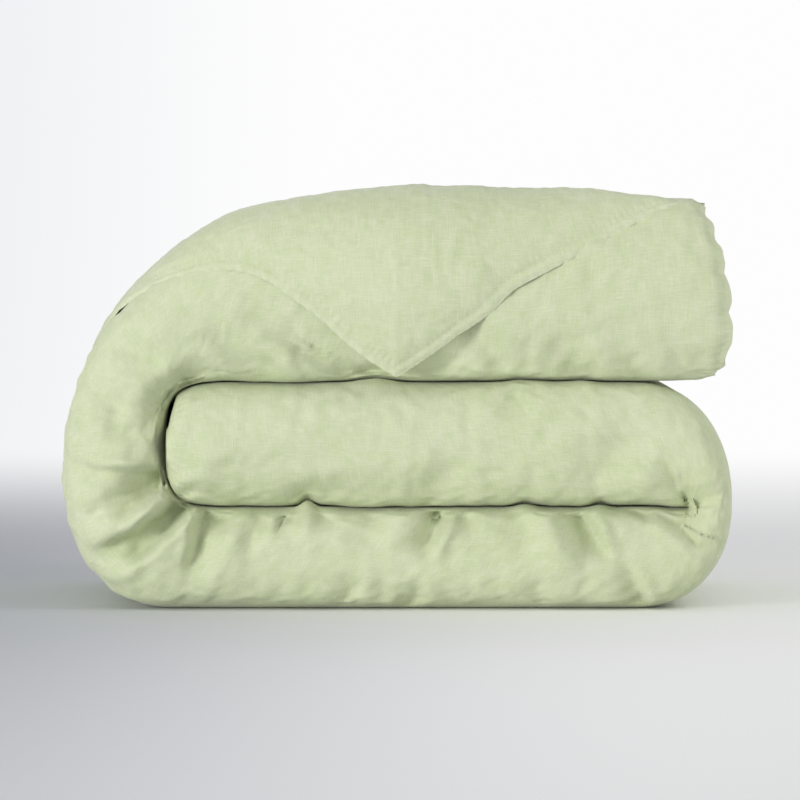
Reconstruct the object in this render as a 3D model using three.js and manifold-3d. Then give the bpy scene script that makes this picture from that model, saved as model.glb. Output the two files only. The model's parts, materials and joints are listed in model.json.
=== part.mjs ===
// A duvet folded in three across its width, then rolled into a pile of three layers with one corner turned
// down over the front. Millimetres, +Z up, +X to the right, -Y to the front, origin under the pile's middle.
//
// The folded duvet is a strip: it is modelled flat, as a station along the strip, a depth y from front to
// back, and a level through its three thirds, and foldPoint() carries each point round the pile.
// Station 0..1 is the top layer from its free end, 1..2 the bend at the left, 2..3 the bottom layer,
// 3..4 the fold at the right, and 4..5 the middle layer up to its inner end.
import * as THREE from 'three';
import { mergeVertices } from 'three/addons/utils/BufferGeometryUtils.js';
import Module from 'manifold-3d';

const wasm = await Module();
wasm.setup();

// The pile
const PILE_WIDTH = 698;
const LAYERS_DEPTH = 470;
const BOTTOM_HEIGHT = 105;
const MIDDLE_HEIGHT = 128.8;
const TOP_HEIGHT = 154.3;
const LAYER_GAP = 1.2;
const TOP_END_INSET = 9;
const FOLD_INSET = 3;

// The bend at the left, over the middle layer's inner end
const BEND_THICKNESS = 104.5;
const BEND_WIDEST_Z = 150;
const BEND_UPPER_RUN = 229;
const BEND_LOWER_RUN = 119;
const BEND_LOWER_POWER = 2.4;
const MIDDLE_END_ROUND = 66;
const MIDDLE_END_GAP = 3;
const BEND_INNER_POWER = 3.2;

// The fold at the right
const FOLD_RUN = 101;
const FOLD_WIDEST_Z = 110;
const FOLD_INNER_RUN = 46;
const FOLD_POWER = 2.2;

// The free ends of the strip draw in to their seams
const TOP_END_ROUND = 48;
const END_SEAM_SHARE = 0.36;
const END_ROUND_POWER = 2;

// One third of the duvet: pitch of the thirds, filling, and the two fabric panels
const FILL_THICKNESS = 35;
const PANEL_THICKNESS = 1;
const PANEL_CLEARANCE = 0.7;
const THIRD_GAP = 1.6;
const THIRD_PITCH = FILL_THICKNESS + 2 * (PANEL_CLEARANCE + PANEL_THICKNESS) + THIRD_GAP;
const INNER_HEM_INSET = 70;
const OUTER_HEM_INSET = 15;
const BACK_FOLD_INSET = 2;
const ROW_GAP = 0.4;
const FILL_END_INSET = 0.05;
const FILL_MIDDLE_END_INSET = 0.08;
const ROW_APART = 0.003;

// The turned-down corner
const FLAP_HEIGHT = 49.8;
const FLAP_HEM_HEIGHT = 14;
const FLAP_GAP = 0.6;
const FLAP_HANG_THICKNESS = 29;
const FLAP_HANG_GAP = 1.5;
const FLAP_TIP_X = -3;
const FLAP_TIP_Z = 242;
const FLAP_FLANGE = 12;
const FLAP_TIP_BLUNT = 5;
const FLAP_LEFT_SLOPE = 39;
const FLAP_RIGHT_SLOPE = 35;
const SIDE_HEM_ANGLE = 66;
const LIFT_LEFT_DROP = 96;
const LIFT_RIGHT_DROP = 14;
const RIDGE_END_INSET = 18;
const RIDGE_FRONT_INSET = 8;
const FLAP_TAPER_FROM_X = -60;
const FLAP_TAPER_TO_X = -300;

// Hinge lines of the unrolling bend: an outer polygon with 45 degree turns
const HINGE_MARGIN = 7;
const HINGE_LOWER_CHAMFER = 90;
const HINGE_UPPER_CHAMFER = 116;

// Closure, ties and label
const PLACKET_WIDTH_STATIONS = 0.06;
const PLACKET_END_STATION = 4.985;
const PLACKET_THICKNESS = 1.2;
const PLACKET_OFFSET = 6;
const FACING_OFFSET = 0;
const BUTTON_RADIUS = 7.5;
const BUTTON_THICKNESS = 2.6;
const BUTTON_RIM = 0.7;
const BUTTON_RIM_INNER_RADIUS = 5.25;
const BUTTON_DISH_RADIUS = 4.5;
const BUTTON_COUNT = 3;
const BUTTON_SIDES = 16;
const BUTTON_STATION = 4.955;
const BUTTON_CLEARANCE = 1.2;
const TIE_WIDTH = 8;
const TIE_LENGTH = 9;
const TIE_THICKNESS = 1.2;
const TIE_CORNER_INSET = 16;
const TIE_OUTER_END_STATION = 0.02;
const TIE_INNER_END_STATION = 4.985;
const TIE_INNER_FOLD_STATION = 4.97;
const TIE_OUTER_LEVEL = 0.7 * THIRD_PITCH;
const LABEL_HEIGHT = 44;
const LABEL_THICKNESS = 1;
const LABEL_WIDTH = 45;
const LABEL_LOW_Z = 83;

// Mesh density
const WRAP_FRONT_STEPS = 6;
const WRAP_BACK_STEPS = 4;
const MERGE_TOLERANCE = 1e-4;
const BEND_STEPS = 14;
const FOLD_STEPS = 9;
const ARC_SAMPLES = 60;
const PLAIN_RINGS = [0.02, 0.05, 0.09, 0.5, 1, 2, 2.5, 3, 4, 4.5, 4.86, 4.92, 4.96, 4.985];
const RING_SPARE = 0.004;
const STATION_STEP = 0.005;
const REGION_REACH = 3;

// How far each row of filling or panel runs before its region trims it
const TOP_INNER_TO = 1.6;
const BEND_UPPER_FROM = 0.8;
const BEND_LOWER_FROM = 1.2;
const BEND_LOWER_TO = 2.2;
const BOTTOM_FROM = 1.6;
const TOP_ROWS_PART = 0.5;

// Places that follow from the sizes
const LEFT_X = -PILE_WIDTH / 2;
const RIGHT_X = PILE_WIDTH / 2;
const FRONT_Y = -(LAYERS_DEPTH - FLAP_HANG_THICKNESS - FLAP_HANG_GAP) / 2;
const BACK_Y = FRONT_Y + LAYERS_DEPTH;
const BOTTOM_TOP_Z = BOTTOM_HEIGHT;
const MIDDLE_LOW_Z = BOTTOM_TOP_Z + LAYER_GAP;
const MIDDLE_TOP_Z = MIDDLE_LOW_Z + MIDDLE_HEIGHT;
const TOP_LOW_Z = MIDDLE_TOP_Z + LAYER_GAP;
const TOP_TOP_Z = TOP_LOW_Z + TOP_HEIGHT;
const PILE_HEIGHT = TOP_TOP_Z + FLAP_GAP + FLAP_HEIGHT;
const TOP_END_X = RIGHT_X - TOP_END_INSET;
const FOLD_OUTER_X = RIGHT_X - FOLD_INSET;
const FOLD_CENTRE_X = FOLD_OUTER_X - FOLD_RUN;
const FOLD_INNER_X = FOLD_OUTER_X - FOLD_INNER_RUN;
const BEND_INNER_X = LEFT_X + BEND_THICKNESS;
const MIDDLE_END_X = BEND_INNER_X + MIDDLE_END_GAP;
const CORE_X = MIDDLE_END_X + MIDDLE_END_ROUND;
const CORE_Z = (BOTTOM_TOP_Z + TOP_LOW_Z) / 2;
const CORE_HALF_HEIGHT = (TOP_LOW_Z - BOTTOM_TOP_Z) / 2;
const STACK = 3 * THIRD_PITCH;
const PANEL_OFFSET = FILL_THICKNESS / 2 + PANEL_CLEARANCE + PANEL_THICKNESS / 2;
const SKIN_LEVEL = THIRD_PITCH / 2 - PANEL_OFFSET - PANEL_THICKNESS / 2;
const FRONT_ROLL_RADIUS = THIRD_PITCH;
const BACK_ROLL_RADIUS = THIRD_PITCH / 2;
const FRONT_ROLL_Y = FRONT_Y + FRONT_ROLL_RADIUS + PANEL_OFFSET + PANEL_THICKNESS / 2;
const BACK_ROLL_Y = BACK_Y - BACK_FOLD_INSET - BACK_ROLL_RADIUS - PANEL_OFFSET - PANEL_THICKNESS / 2;
const OUTER_HEM_Y = BACK_Y - OUTER_HEM_INSET;
const INNER_HEM_Y = FRONT_Y + INNER_HEM_INSET;
const FLAP_FRONT_Y = FRONT_Y - FLAP_HANG_GAP - FLAP_HANG_THICKNESS;

const LINEN = { color: 0xc6d3ae, roughness: 0.95, metalness: 0 };
const LINING = { color: 0xcfd9bb, roughness: 0.95, metalness: 0 };
const FILLING = { color: 0xf2efe6, roughness: 1, metalness: 0 };
const SHELL = { color: 0xe8e2d0, roughness: 0.35, metalness: 0 };
const TAPE = { color: 0xeef1e6, roughness: 0.9, metalness: 0 };

/** A quarter of a superellipse: angle 0 lies on the x side and 90 degrees on the z side. */
function quarter(angle, run, rise, power) {
  const c = Math.cos(angle);
  const s = Math.sin(angle);
  const along = run * Math.sign(c) * Math.abs(c) ** (2 / power);
  const up = rise * Math.sign(s) * Math.abs(s) ** (2 / power);
  return new THREE.Vector2(along, up);
}

/** The outer side of the left bend, u = 0 at the top layer and 1 at the bottom layer. */
function bendOuter(u) {
  const angle = Math.PI * (0.5 + u);
  if (u < 0.5) {
    const p = quarter(angle, BEND_UPPER_RUN, TOP_TOP_Z - BEND_WIDEST_Z, 2);
    return p.add(new THREE.Vector2(LEFT_X + BEND_UPPER_RUN, BEND_WIDEST_Z));
  }
  const p = quarter(angle, BEND_LOWER_RUN, BEND_WIDEST_Z, BEND_LOWER_POWER);
  return p.add(new THREE.Vector2(LEFT_X + BEND_LOWER_RUN, BEND_WIDEST_Z));
}

/** The inner side of the left bend, which clears the middle layer's end. */
function bendInner(u) {
  const angle = Math.PI * (0.5 + u);
  const p = quarter(angle, MIDDLE_END_ROUND + MIDDLE_END_GAP, CORE_HALF_HEIGHT, BEND_INNER_POWER);
  return p.add(new THREE.Vector2(CORE_X, CORE_Z));
}

/** The outer side of the right fold, u = 0 at the bottom layer and 1 at the middle layer. */
function foldOuter(u) {
  const angle = Math.PI * (u - 0.5);
  const rise = u < 0.5 ? FOLD_WIDEST_Z : MIDDLE_TOP_Z - FOLD_WIDEST_Z;
  return quarter(angle, FOLD_RUN, rise, FOLD_POWER).add(new THREE.Vector2(FOLD_CENTRE_X, FOLD_WIDEST_Z));
}

/** The inner side of the right fold: a tight turn as wide as the gap between the layers. */
function foldInner(u) {
  const angle = Math.PI * (u - 0.5);
  const radius = LAYER_GAP / 2;
  return quarter(angle, radius, radius, 2).add(new THREE.Vector2(FOLD_INNER_X, BOTTOM_TOP_Z + radius));
}

function between(x0, z0, x1, z1, u) {
  return new THREE.Vector2(x0, z0).lerp(new THREE.Vector2(x1, z1), u);
}

/** The outer and inner points of the strip at a station. */
function sidesAt(station) {
  const leg = Math.min(Math.floor(station), 4);
  const u = station - leg;
  if (leg === 0) {
    return [
      between(TOP_END_X, TOP_TOP_Z, LEFT_X + BEND_UPPER_RUN, TOP_TOP_Z, u),
      between(TOP_END_X, TOP_LOW_Z, CORE_X, TOP_LOW_Z, u),
    ];
  }
  if (leg === 1) return [bendOuter(u), bendInner(u)];
  if (leg === 2) {
    return [
      between(LEFT_X + BEND_LOWER_RUN, 0, FOLD_CENTRE_X, 0, u),
      between(CORE_X, BOTTOM_TOP_Z, FOLD_INNER_X, BOTTOM_TOP_Z, u),
    ];
  }
  if (leg === 3) return [foldOuter(u), foldInner(u)];
  return [
    between(FOLD_CENTRE_X, MIDDLE_TOP_Z, MIDDLE_END_X, MIDDLE_TOP_Z, u),
    between(FOLD_INNER_X, MIDDLE_LOW_Z, MIDDLE_END_X, MIDDLE_LOW_Z, u),
  ];
}

/** How much of the strip's thickness is left where an end draws in to its seam. */
function endShare(distance, length) {
  if (distance >= length) return 1;
  const x = 1 - distance / length;
  const round = Math.max(0, 1 - x ** END_ROUND_POWER) ** (1 / END_ROUND_POWER);
  return END_SEAM_SHARE + (1 - END_SEAM_SHARE) * round;
}

/** Carries a point of the flat strip to its place in the pile; the fabric's faces lie on the pile's sides. */
function foldPoint(station, y, level) {
  const [outer, inner] = sidesAt(station);
  const middle = outer.clone().lerp(inner, 0.5);
  let share = 1;
  if (station < 1) share = endShare(TOP_END_X - middle.x, TOP_END_ROUND);
  if (station > 4) share = endShare(middle.x - MIDDLE_END_X, MIDDLE_END_ROUND);
  const t = 0.5 + ((level - STACK / 2) * share) / (STACK - 2 * SKIN_LEVEL);
  const p = outer.lerp(inner, t);
  return new THREE.Vector3(p.x, y, p.y);
}

/** A point off the strip's outer side, at a height in millimetres above it. */
function abovePoint(station, y, height) {
  const base = foldPoint(station, y, SKIN_LEVEL);
  const [outer, inner] = sidesAt(station);
  const out = outer.sub(inner).normalize();
  return new THREE.Vector3(base.x + out.x * height, y, base.z + out.y * height);
}

/** The stations at which a swept solid has a ring between two ends. */
function stationsBetween(from, to) {
  const marks = [...PLAIN_RINGS];
  for (let i = 1; i < BEND_STEPS; i += 1) marks.push(1 + i / BEND_STEPS);
  for (let i = 1; i < FOLD_STEPS; i += 1) marks.push(3 + i / FOLD_STEPS);
  const kept = marks.filter((mark) => mark > from + RING_SPARE && mark < to - RING_SPARE);
  return [from, ...kept.sort((a, b) => a - b), to];
}

/** Sweeps a shape drawn in (y, level) along the strip, each vertex placed by the given function. */
function sweep(shape, from, to, place) {
  const rings = stationsBetween(from, to);
  const steps = rings.length - 1;
  const geometry = new THREE.ExtrudeGeometry(shape, { depth: steps, steps, bevelEnabled: false });
  const position = geometry.attributes.position;
  for (let i = 0; i < position.count; i += 1) {
    const station = rings[Math.round(position.getZ(i))];
    const p = place(station, position.getX(i), position.getY(i));
    position.setXYZ(i, p.x, p.y, p.z);
  }
  return solidOf(geometry);
}

/** Turns a closed geometry into a solid with its faces pointing out. */
function solidOf(geometry) {
  geometry.deleteAttribute('normal');
  geometry.deleteAttribute('uv');
  const merged = mergeVertices(geometry, MERGE_TOLERANCE);
  const triangles = new Uint32Array(merged.index.array);
  if (signedVolume(merged) < 0) {
    for (let i = 0; i < triangles.length; i += 3) {
      [triangles[i], triangles[i + 1]] = [triangles[i + 1], triangles[i]];
    }
  }
  const points = new Float32Array(merged.attributes.position.array);
  return new wasm.Manifold(new wasm.Mesh({ numProp: 3, vertProperties: points, triVerts: triangles }));
}

function signedVolume(geometry) {
  const p = geometry.attributes.position;
  const index = geometry.index;
  const a = new THREE.Vector3();
  const b = new THREE.Vector3();
  const c = new THREE.Vector3();
  let sum = 0;
  for (let i = 0; i < index.count; i += 3) {
    a.fromBufferAttribute(p, index.getX(i));
    b.fromBufferAttribute(p, index.getX(i + 1));
    c.fromBufferAttribute(p, index.getX(i + 2));
    sum += a.dot(b.cross(c)) / 6;
  }
  return sum;
}

/** A prism of an outline drawn in (x, z), from y0 back to y1. */
function prism(outline, y0, y1) {
  const shape = new THREE.Shape(outline);
  const geometry = new THREE.ExtrudeGeometry(shape, { depth: y1 - y0, bevelEnabled: false });
  geometry.rotateX(Math.PI / 2);
  geometry.translate(0, y1, 0);
  return solidOf(geometry);
}

/** The line of a folded third's fabric or filling in (y, level), offset outwards from its middle. */
function wrapPoints(offset, from, to) {
  const frontRadius = FRONT_ROLL_RADIUS + offset;
  const backRadius = BACK_ROLL_RADIUS + offset;
  const frontLevel = STACK / 2;
  const backLevel = STACK / 2 + THIRD_PITCH / 2;
  const thirds = [[new THREE.Vector2(OUTER_HEM_Y, THIRD_PITCH / 2 - offset)], [], []];
  for (let i = 0; i <= WRAP_FRONT_STEPS; i += 1) {
    const angle = -Math.PI / 2 - (Math.PI * i) / WRAP_FRONT_STEPS;
    const y = FRONT_ROLL_Y + frontRadius * Math.cos(angle);
    const point = new THREE.Vector2(y, frontLevel + frontRadius * Math.sin(angle));
    if (i <= WRAP_FRONT_STEPS / 2) thirds[0].push(point);
    if (i >= WRAP_FRONT_STEPS / 2) thirds[1].push(point);
  }
  for (let i = 0; i <= WRAP_BACK_STEPS; i += 1) {
    const angle = Math.PI / 2 - (Math.PI * i) / WRAP_BACK_STEPS;
    const y = BACK_ROLL_Y + backRadius * Math.cos(angle);
    const point = new THREE.Vector2(y, backLevel + backRadius * Math.sin(angle));
    if (i <= WRAP_BACK_STEPS / 2) thirds[1].push(point);
    if (i >= WRAP_BACK_STEPS / 2) thirds[2].push(point);
  }
  thirds[2].push(new THREE.Vector2(INNER_HEM_Y, STACK / 2 - offset));
  const points = [];
  for (let third = from; third <= to; third += 1) {
    const fresh = third === from ? thirds[third] : thirds[third].slice(1);
    points.push(...fresh);
  }
  return points;
}

/** A band of even thickness about the wrap line, over the thirds from..to. */
function bandShape(offset, thickness, from, to) {
  const outside = wrapPoints(offset + thickness / 2, from, to);
  const inside = wrapPoints(offset - thickness / 2, from, to);
  return new THREE.Shape([...outside, ...inside.reverse()]);
}

/** The filling of one third, short of its neighbours where the thirds turn over. */
function fillShape(third) {
  const outside = wrapPoints(FILL_THICKNESS / 2, third, third);
  const inside = wrapPoints(-FILL_THICKNESS / 2, third, third);
  for (const line of [outside, inside]) {
    if (third > 0) line[0].add(backOff(line[0], line[1]));
    const last = line.length - 1;
    if (third < 2) line[last].add(backOff(line[last], line[last - 1]));
  }
  return new THREE.Shape([...outside, ...inside.reverse()]);
}

function backOff(end, next) {
  return next.clone().sub(end).normalize().multiplyScalar(ROW_GAP);
}

/** The distance along the strip's outer side, as an x that runs on past the bend's start. */
const bendLengths = [0];
for (let i = 1; i <= ARC_SAMPLES; i += 1) {
  const step = bendOuter(i / ARC_SAMPLES).distanceTo(bendOuter((i - 1) / ARC_SAMPLES));
  bendLengths.push(bendLengths[i - 1] + step);
}
function unrolledX(station) {
  if (station <= 1) return sidesAt(station)[0].x;
  const place = Math.min(station - 1, 1) * ARC_SAMPLES;
  const low = Math.floor(place);
  const high = Math.min(low + 1, ARC_SAMPLES);
  return LEFT_X + BEND_UPPER_RUN - THREE.MathUtils.lerp(bendLengths[low], bendLengths[high], place - low);
}

/** The hems of the hanging corner, as x at a height z. */
function leftHemX(z) {
  return FLAP_TIP_X - (z - FLAP_TIP_Z) / Math.tan(THREE.MathUtils.degToRad(FLAP_LEFT_SLOPE));
}

function rightHemX(z) {
  return FLAP_TIP_X + (z - FLAP_TIP_Z) / Math.tan(THREE.MathUtils.degToRad(FLAP_RIGHT_SLOPE));
}

// The ridge halves the angle between the end hem as it lay flat and as it lies turned over.
const RIDGE_X = TOP_END_X - RIDGE_END_INSET;
const RIDGE_Y = FRONT_Y + RIDGE_FRONT_INSET;
const hangDrop = PILE_HEIGHT - FLAP_TIP_Z;
const endHem = new THREE.Vector2(RIDGE_X - FLAP_TIP_X, RIDGE_Y - FRONT_Y + hangDrop).normalize();
const ridge = new THREE.Vector2(-endHem.x, 1 - endHem.y);

function ridgeY(station) {
  return RIDGE_Y + ((unrolledX(station) - RIDGE_X) * ridge.y) / ridge.x;
}

function sideHemY(station) {
  const past = leftHemX(PILE_HEIGHT) - unrolledX(station);
  return FRONT_Y + past * Math.tan(THREE.MathUtils.degToRad(SIDE_HEM_ANGLE));
}

function flapHeight(station) {
  const x = unrolledX(station);
  const t = THREE.MathUtils.smoothstep(x, FLAP_TAPER_TO_X, FLAP_TAPER_FROM_X);
  return THREE.MathUtils.lerp(FLAP_HEM_HEIGHT, FLAP_HEIGHT, t);
}

/** The first station past a test along the top layer and the bend. */
function stationWhere(test) {
  let station = 0;
  while (station < 2 && !test(station)) station += STATION_STEP;
  return station;
}

// Hinge lines of the unrolling bend, as (x, z), from the floor up and over
const HINGE_X = LEFT_X - HINGE_MARGIN;
const HINGE_TOP = PILE_HEIGHT + FLAP_GAP;
const hinges = [
  new THREE.Vector2(HINGE_X + HINGE_LOWER_CHAMFER, 0),
  new THREE.Vector2(HINGE_X, HINGE_LOWER_CHAMFER),
  new THREE.Vector2(HINGE_X, HINGE_TOP - HINGE_UPPER_CHAMFER),
  new THREE.Vector2(HINGE_X + HINGE_UPPER_CHAMFER, HINGE_TOP),
];
const core = new THREE.Vector2(CORE_X, CORE_Z);

/** The wedge of space between two lines out of the core, kept clear of both lines. */
function wedge(a, b) {
  const middle = a.clone().add(b).multiplyScalar(0.5).sub(core).normalize();
  const half = Math.abs(a.clone().sub(core).angleTo(b.clone().sub(core))) / 2;
  const shift = middle.multiplyScalar(ROW_GAP / 2 / Math.sin(half));
  const apex = core.clone().add(shift);
  const far = [a, b].map((p) => p.clone().sub(core).multiplyScalar(REGION_REACH).add(apex));
  return prism([apex, ...far], FLAP_FRONT_Y - 1, BACK_Y + 1);
}

/** The space on the pile's side of the line out of the core through a hinge. */
function pileSide(hinge) {
  const far = hinge.clone().sub(core).multiplyScalar(REGION_REACH).add(core);
  const side = new THREE.Vector2(PILE_WIDTH, 0);
  const outline = [core, far, far.clone().setX(PILE_WIDTH), core.clone().setX(PILE_WIDTH)];
  const shift = side.setLength(ROW_GAP);
  return prism(outline.map((p) => p.clone().add(shift)), FLAP_FRONT_Y - 1, BACK_Y + 1);
}

const regions = {
  top_layer: pileSide(hinges[3]),
  bend_upper: wedge(hinges[2], hinges[3]),
  bend_middle: wedge(hinges[1], hinges[2]),
  bend_lower: wedge(hinges[0], hinges[1]),
  bottom: pileSide(hinges[0]),
};

// The rows of the insert: name, first and last station, and the region that trims the row, if any
const rows = [
  ['top_end', FILL_END_INSET, TOP_ROWS_PART - ROW_APART, null],
  ['top_inner', TOP_ROWS_PART + ROW_APART, TOP_INNER_TO, 'top_layer'],
  ['bend_upper', BEND_UPPER_FROM, 2, 'bend_upper'],
  ['bend_middle', 1, 2, 'bend_middle'],
  ['bend_lower', BEND_LOWER_FROM, BEND_LOWER_TO, 'bend_lower'],
  ['bottom', BOTTOM_FROM, 3 - ROW_APART, 'bottom'],
  ['right_fold', 3 + ROW_APART, 4 - ROW_APART, null],
  ['middle', 4 + ROW_APART, 5 - FILL_MIDDLE_END_INSET, null],
];
const panels = [
  ['top', 0, TOP_INNER_TO, 'top_layer'],
  ['bend_upper', BEND_UPPER_FROM, 2, 'bend_upper'],
  ['bend_middle', 1, 2, 'bend_middle'],
  ['bend_lower', BEND_LOWER_FROM, BEND_LOWER_TO, 'bend_lower'],
  ['bottom', BOTTOM_FROM, 3 - ROW_APART, 'bottom'],
  ['right_fold', 3 + ROW_APART, 4 - ROW_APART, null],
  ['middle', 4 + ROW_APART, 5, null],
];
const thirdNames = ['outer', 'middle', 'inner'];
const thirdOrder = [0, 2, 1];

/** The flap's outline at a station: how far forward it reaches, and the ridge it turns over at. */
function flapSpan(station) {
  return [Math.max(FRONT_Y, sideHemY(station)), ridgeY(station) - FLAP_GAP];
}

/** A slab of the turned-over corner, between two heights above the strip, each a share plus an offset. */
function flapSlab(from, to, low, high, inset) {
  const unit = new THREE.Shape([
    new THREE.Vector2(0, 0),
    new THREE.Vector2(1, 0),
    new THREE.Vector2(1, 1),
    new THREE.Vector2(0, 1),
  ]);
  return sweep(unit, from, to, (station, across, up) => {
    const [front, back] = flapSpan(station);
    const side = front > FRONT_Y ? inset : 0;
    const y = THREE.MathUtils.lerp(front + side, back - inset, across);
    const whole = flapHeight(station);
    const height = THREE.MathUtils.lerp(low[0] * whole + low[1], high[0] * whole + high[1], up);
    return abovePoint(station, y, height);
  });
}

const flapFrom = stationWhere((station) => ridgeY(station) > FRONT_Y + FLAP_FLANGE * 2);
const flapTo = stationWhere((station) => {
  return unrolledX(station) < RIDGE_X && ridgeY(station) < sideHemY(station) + FLAP_FLANGE * 3;
});

const cutTo = stationWhere((station) => ridgeY(station) > OUTER_HEM_Y - FLAP_FLANGE);

/** The space behind the ridge that the outer third has left. */
function turnedOverSpace() {
  const unit = new THREE.Shape([
    new THREE.Vector2(0, 0),
    new THREE.Vector2(1, 0),
    new THREE.Vector2(1, 1),
    new THREE.Vector2(0, 1),
  ]);
  return sweep(unit, 0, cutTo, (station, across, up) => {
    const y = THREE.MathUtils.lerp(ridgeY(station), BACK_Y + FLAP_FLANGE, across);
    const level = THREE.MathUtils.lerp(-THIRD_PITCH, THIRD_PITCH, up);
    return foldPoint(station, y, level);
  });
}

const duvet = new THREE.Group();

function addMesh(name, solid, finish) {
  const { vertProperties, triVerts } = solid.getMesh();
  const geometry = new THREE.BufferGeometry();
  geometry.setAttribute('position', new THREE.BufferAttribute(vertProperties, 3));
  geometry.setIndex(new THREE.BufferAttribute(triVerts, 1));
  const mesh = new THREE.Mesh(geometry, new THREE.MeshStandardMaterial(finish));
  mesh.name = name;
  duvet.add(mesh);
}

const turnedOver = turnedOverSpace();

/** Sweeps a shape over a row, trims it to its region and takes away the turned-over space. */
function rowSolid(shape, [, from, to, region], cutsRidge) {
  let solid = sweep(shape, from, to, foldPoint);
  if (region) solid = solid.intersect(regions[region]);
  if (cutsRidge && from < cutTo) solid = solid.subtract(turnedOver);
  return solid;
}

for (const row of rows) {
  thirdOrder.forEach((third, place) => {
    const solid = rowSolid(fillShape(third), row, place === 0);
    addMesh(`fill_${row[0]}_${thirdNames[place]}_third`, solid, FILLING);
  });
}
for (const row of panels) {
  const face = bandShape(PANEL_OFFSET, PANEL_THICKNESS, 0, 2);
  const back = bandShape(-PANEL_OFFSET, PANEL_THICKNESS, 0, 2);
  addMesh(`cover_face_${row[0]}`, rowSolid(face, row, true), LINEN);
  addMesh(`cover_lining_${row[0]}`, rowSolid(back, row, true), LINING);
}

// The turned-over corner where it lies on the top layer and over the bend
const skin = PANEL_THICKNESS;
const flapLayers = [
  ['flap_lining', [0, FLAP_GAP], [0, FLAP_GAP + skin], 0, LINING],
  ['flap_fill', [0, FLAP_GAP + 2 * skin], [1, FLAP_GAP - 2 * skin], FLAP_FLANGE, FILLING],
  ['flap_face', [1, FLAP_GAP - skin], [1, FLAP_GAP], 0, LINEN],
];
for (const [name, low, high, inset, finish] of flapLayers) {
  const whole = flapSlab(flapFrom, flapTo, low, high, inset);
  for (const place of ['top_layer', 'bend_upper']) {
    addMesh(`${name}_${place}`, whole.intersect(regions[place]), finish);
  }
}

/** The hanging part of the corner as an outline in (x, z), drawn in from its hems by the flange. */
function hangingOutline(inset) {
  const top = PILE_HEIGHT - inset;
  const tip = FLAP_TIP_Z + inset * Math.SQRT2;
  const side = inset * Math.SQRT2;
  return [
    new THREE.Vector2(leftHemX(top) + side, top),
    new THREE.Vector2(FLAP_TIP_X - FLAP_TIP_BLUNT, tip),
    new THREE.Vector2(FLAP_TIP_X + FLAP_TIP_BLUNT, tip),
    new THREE.Vector2(rightHemX(top) - side, top),
  ];
}

// The line the tip lifts about runs between the two hems where they leave the pile's front edge.
const liftLeft = new THREE.Vector2(leftHemX(PILE_HEIGHT - LIFT_LEFT_DROP), PILE_HEIGHT - LIFT_LEFT_DROP);
const liftRight = new THREE.Vector2(rightHemX(PILE_HEIGHT - LIFT_RIGHT_DROP), PILE_HEIGHT - LIFT_RIGHT_DROP);

/** The space above the lift line (side 1) or below it (side -1). */
function liftSide(side) {
  const along = liftRight.clone().sub(liftLeft);
  const out = new THREE.Vector2(-along.y, along.x).setLength(side * PILE_HEIGHT);
  const gap = out.clone().setLength(ROW_GAP / 2);
  const start = liftLeft.clone().sub(along).add(gap);
  const end = liftRight.clone().add(along).add(gap);
  return prism([start, end, end.clone().add(out), start.clone().add(out)], FLAP_FRONT_Y - 1, FRONT_Y);
}

const hangBack = FLAP_FRONT_Y + FLAP_HANG_THICKNESS;
const hanging = [
  ['flap_face', prism(hangingOutline(0), FLAP_FRONT_Y, FLAP_FRONT_Y + skin), LINEN],
  ['flap_fill', prism(hangingOutline(FLAP_FLANGE), FLAP_FRONT_Y + 2 * skin, hangBack - 2 * skin), FILLING],
  ['flap_lining', prism(hangingOutline(0), hangBack - skin, hangBack), LINING],
];
for (const [name, solid, finish] of hanging) {
  addMesh(`${name}_apron`, solid.intersect(liftSide(1)), finish);
  addMesh(`${name}_tip`, solid.intersect(liftSide(-1)), finish);
}

// The closure at the middle layer's inner end
const placketStart = PLACKET_END_STATION - PLACKET_WIDTH_STATIONS;
for (const [name, offset] of [['closure_placket', PLACKET_OFFSET], ['closure_facing', FACING_OFFSET]]) {
  const band = bandShape(offset, PLACKET_THICKNESS, 0, 0);
  addMesh(name, sweep(band, placketStart, PLACKET_END_STATION, foldPoint), LINING);
}
const buttonLevel = THIRD_PITCH / 2 - PLACKET_OFFSET - PLACKET_THICKNESS / 2;
for (let i = 0; i < BUTTON_COUNT; i += 1) {
  const y = THREE.MathUtils.lerp(FRONT_ROLL_Y, OUTER_HEM_Y, (i + 1) / (BUTTON_COUNT + 1));
  const profile = [
    new THREE.Vector2(0, 0),
    new THREE.Vector2(BUTTON_RADIUS, 0),
    new THREE.Vector2(BUTTON_RADIUS, BUTTON_THICKNESS),
    new THREE.Vector2(BUTTON_RIM_INNER_RADIUS, BUTTON_THICKNESS),
    new THREE.Vector2(BUTTON_DISH_RADIUS, BUTTON_THICKNESS - BUTTON_RIM),
    new THREE.Vector2(0, BUTTON_THICKNESS - BUTTON_RIM),
  ];
  const geometry = new THREE.LatheGeometry(profile, BUTTON_SIDES);
  geometry.rotateX(Math.PI / 2);
  const seat = foldPoint(BUTTON_STATION, y, buttonLevel);
  const along = foldPoint(PLACKET_END_STATION, y, buttonLevel).sub(foldPoint(placketStart, y, buttonLevel));
  const outward = new THREE.Vector3(along.z, 0, -along.x).normalize();
  geometry.applyQuaternion(new THREE.Quaternion().setFromUnitVectors(new THREE.Vector3(0, 0, 1), outward));
  const place = outward.multiplyScalar(BUTTON_CLEARANCE).add(seat);
  geometry.translate(place.x, place.y, place.z);
  addMesh(`closure_button_${i + 1}`, solidOf(geometry), SHELL);
}

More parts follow.
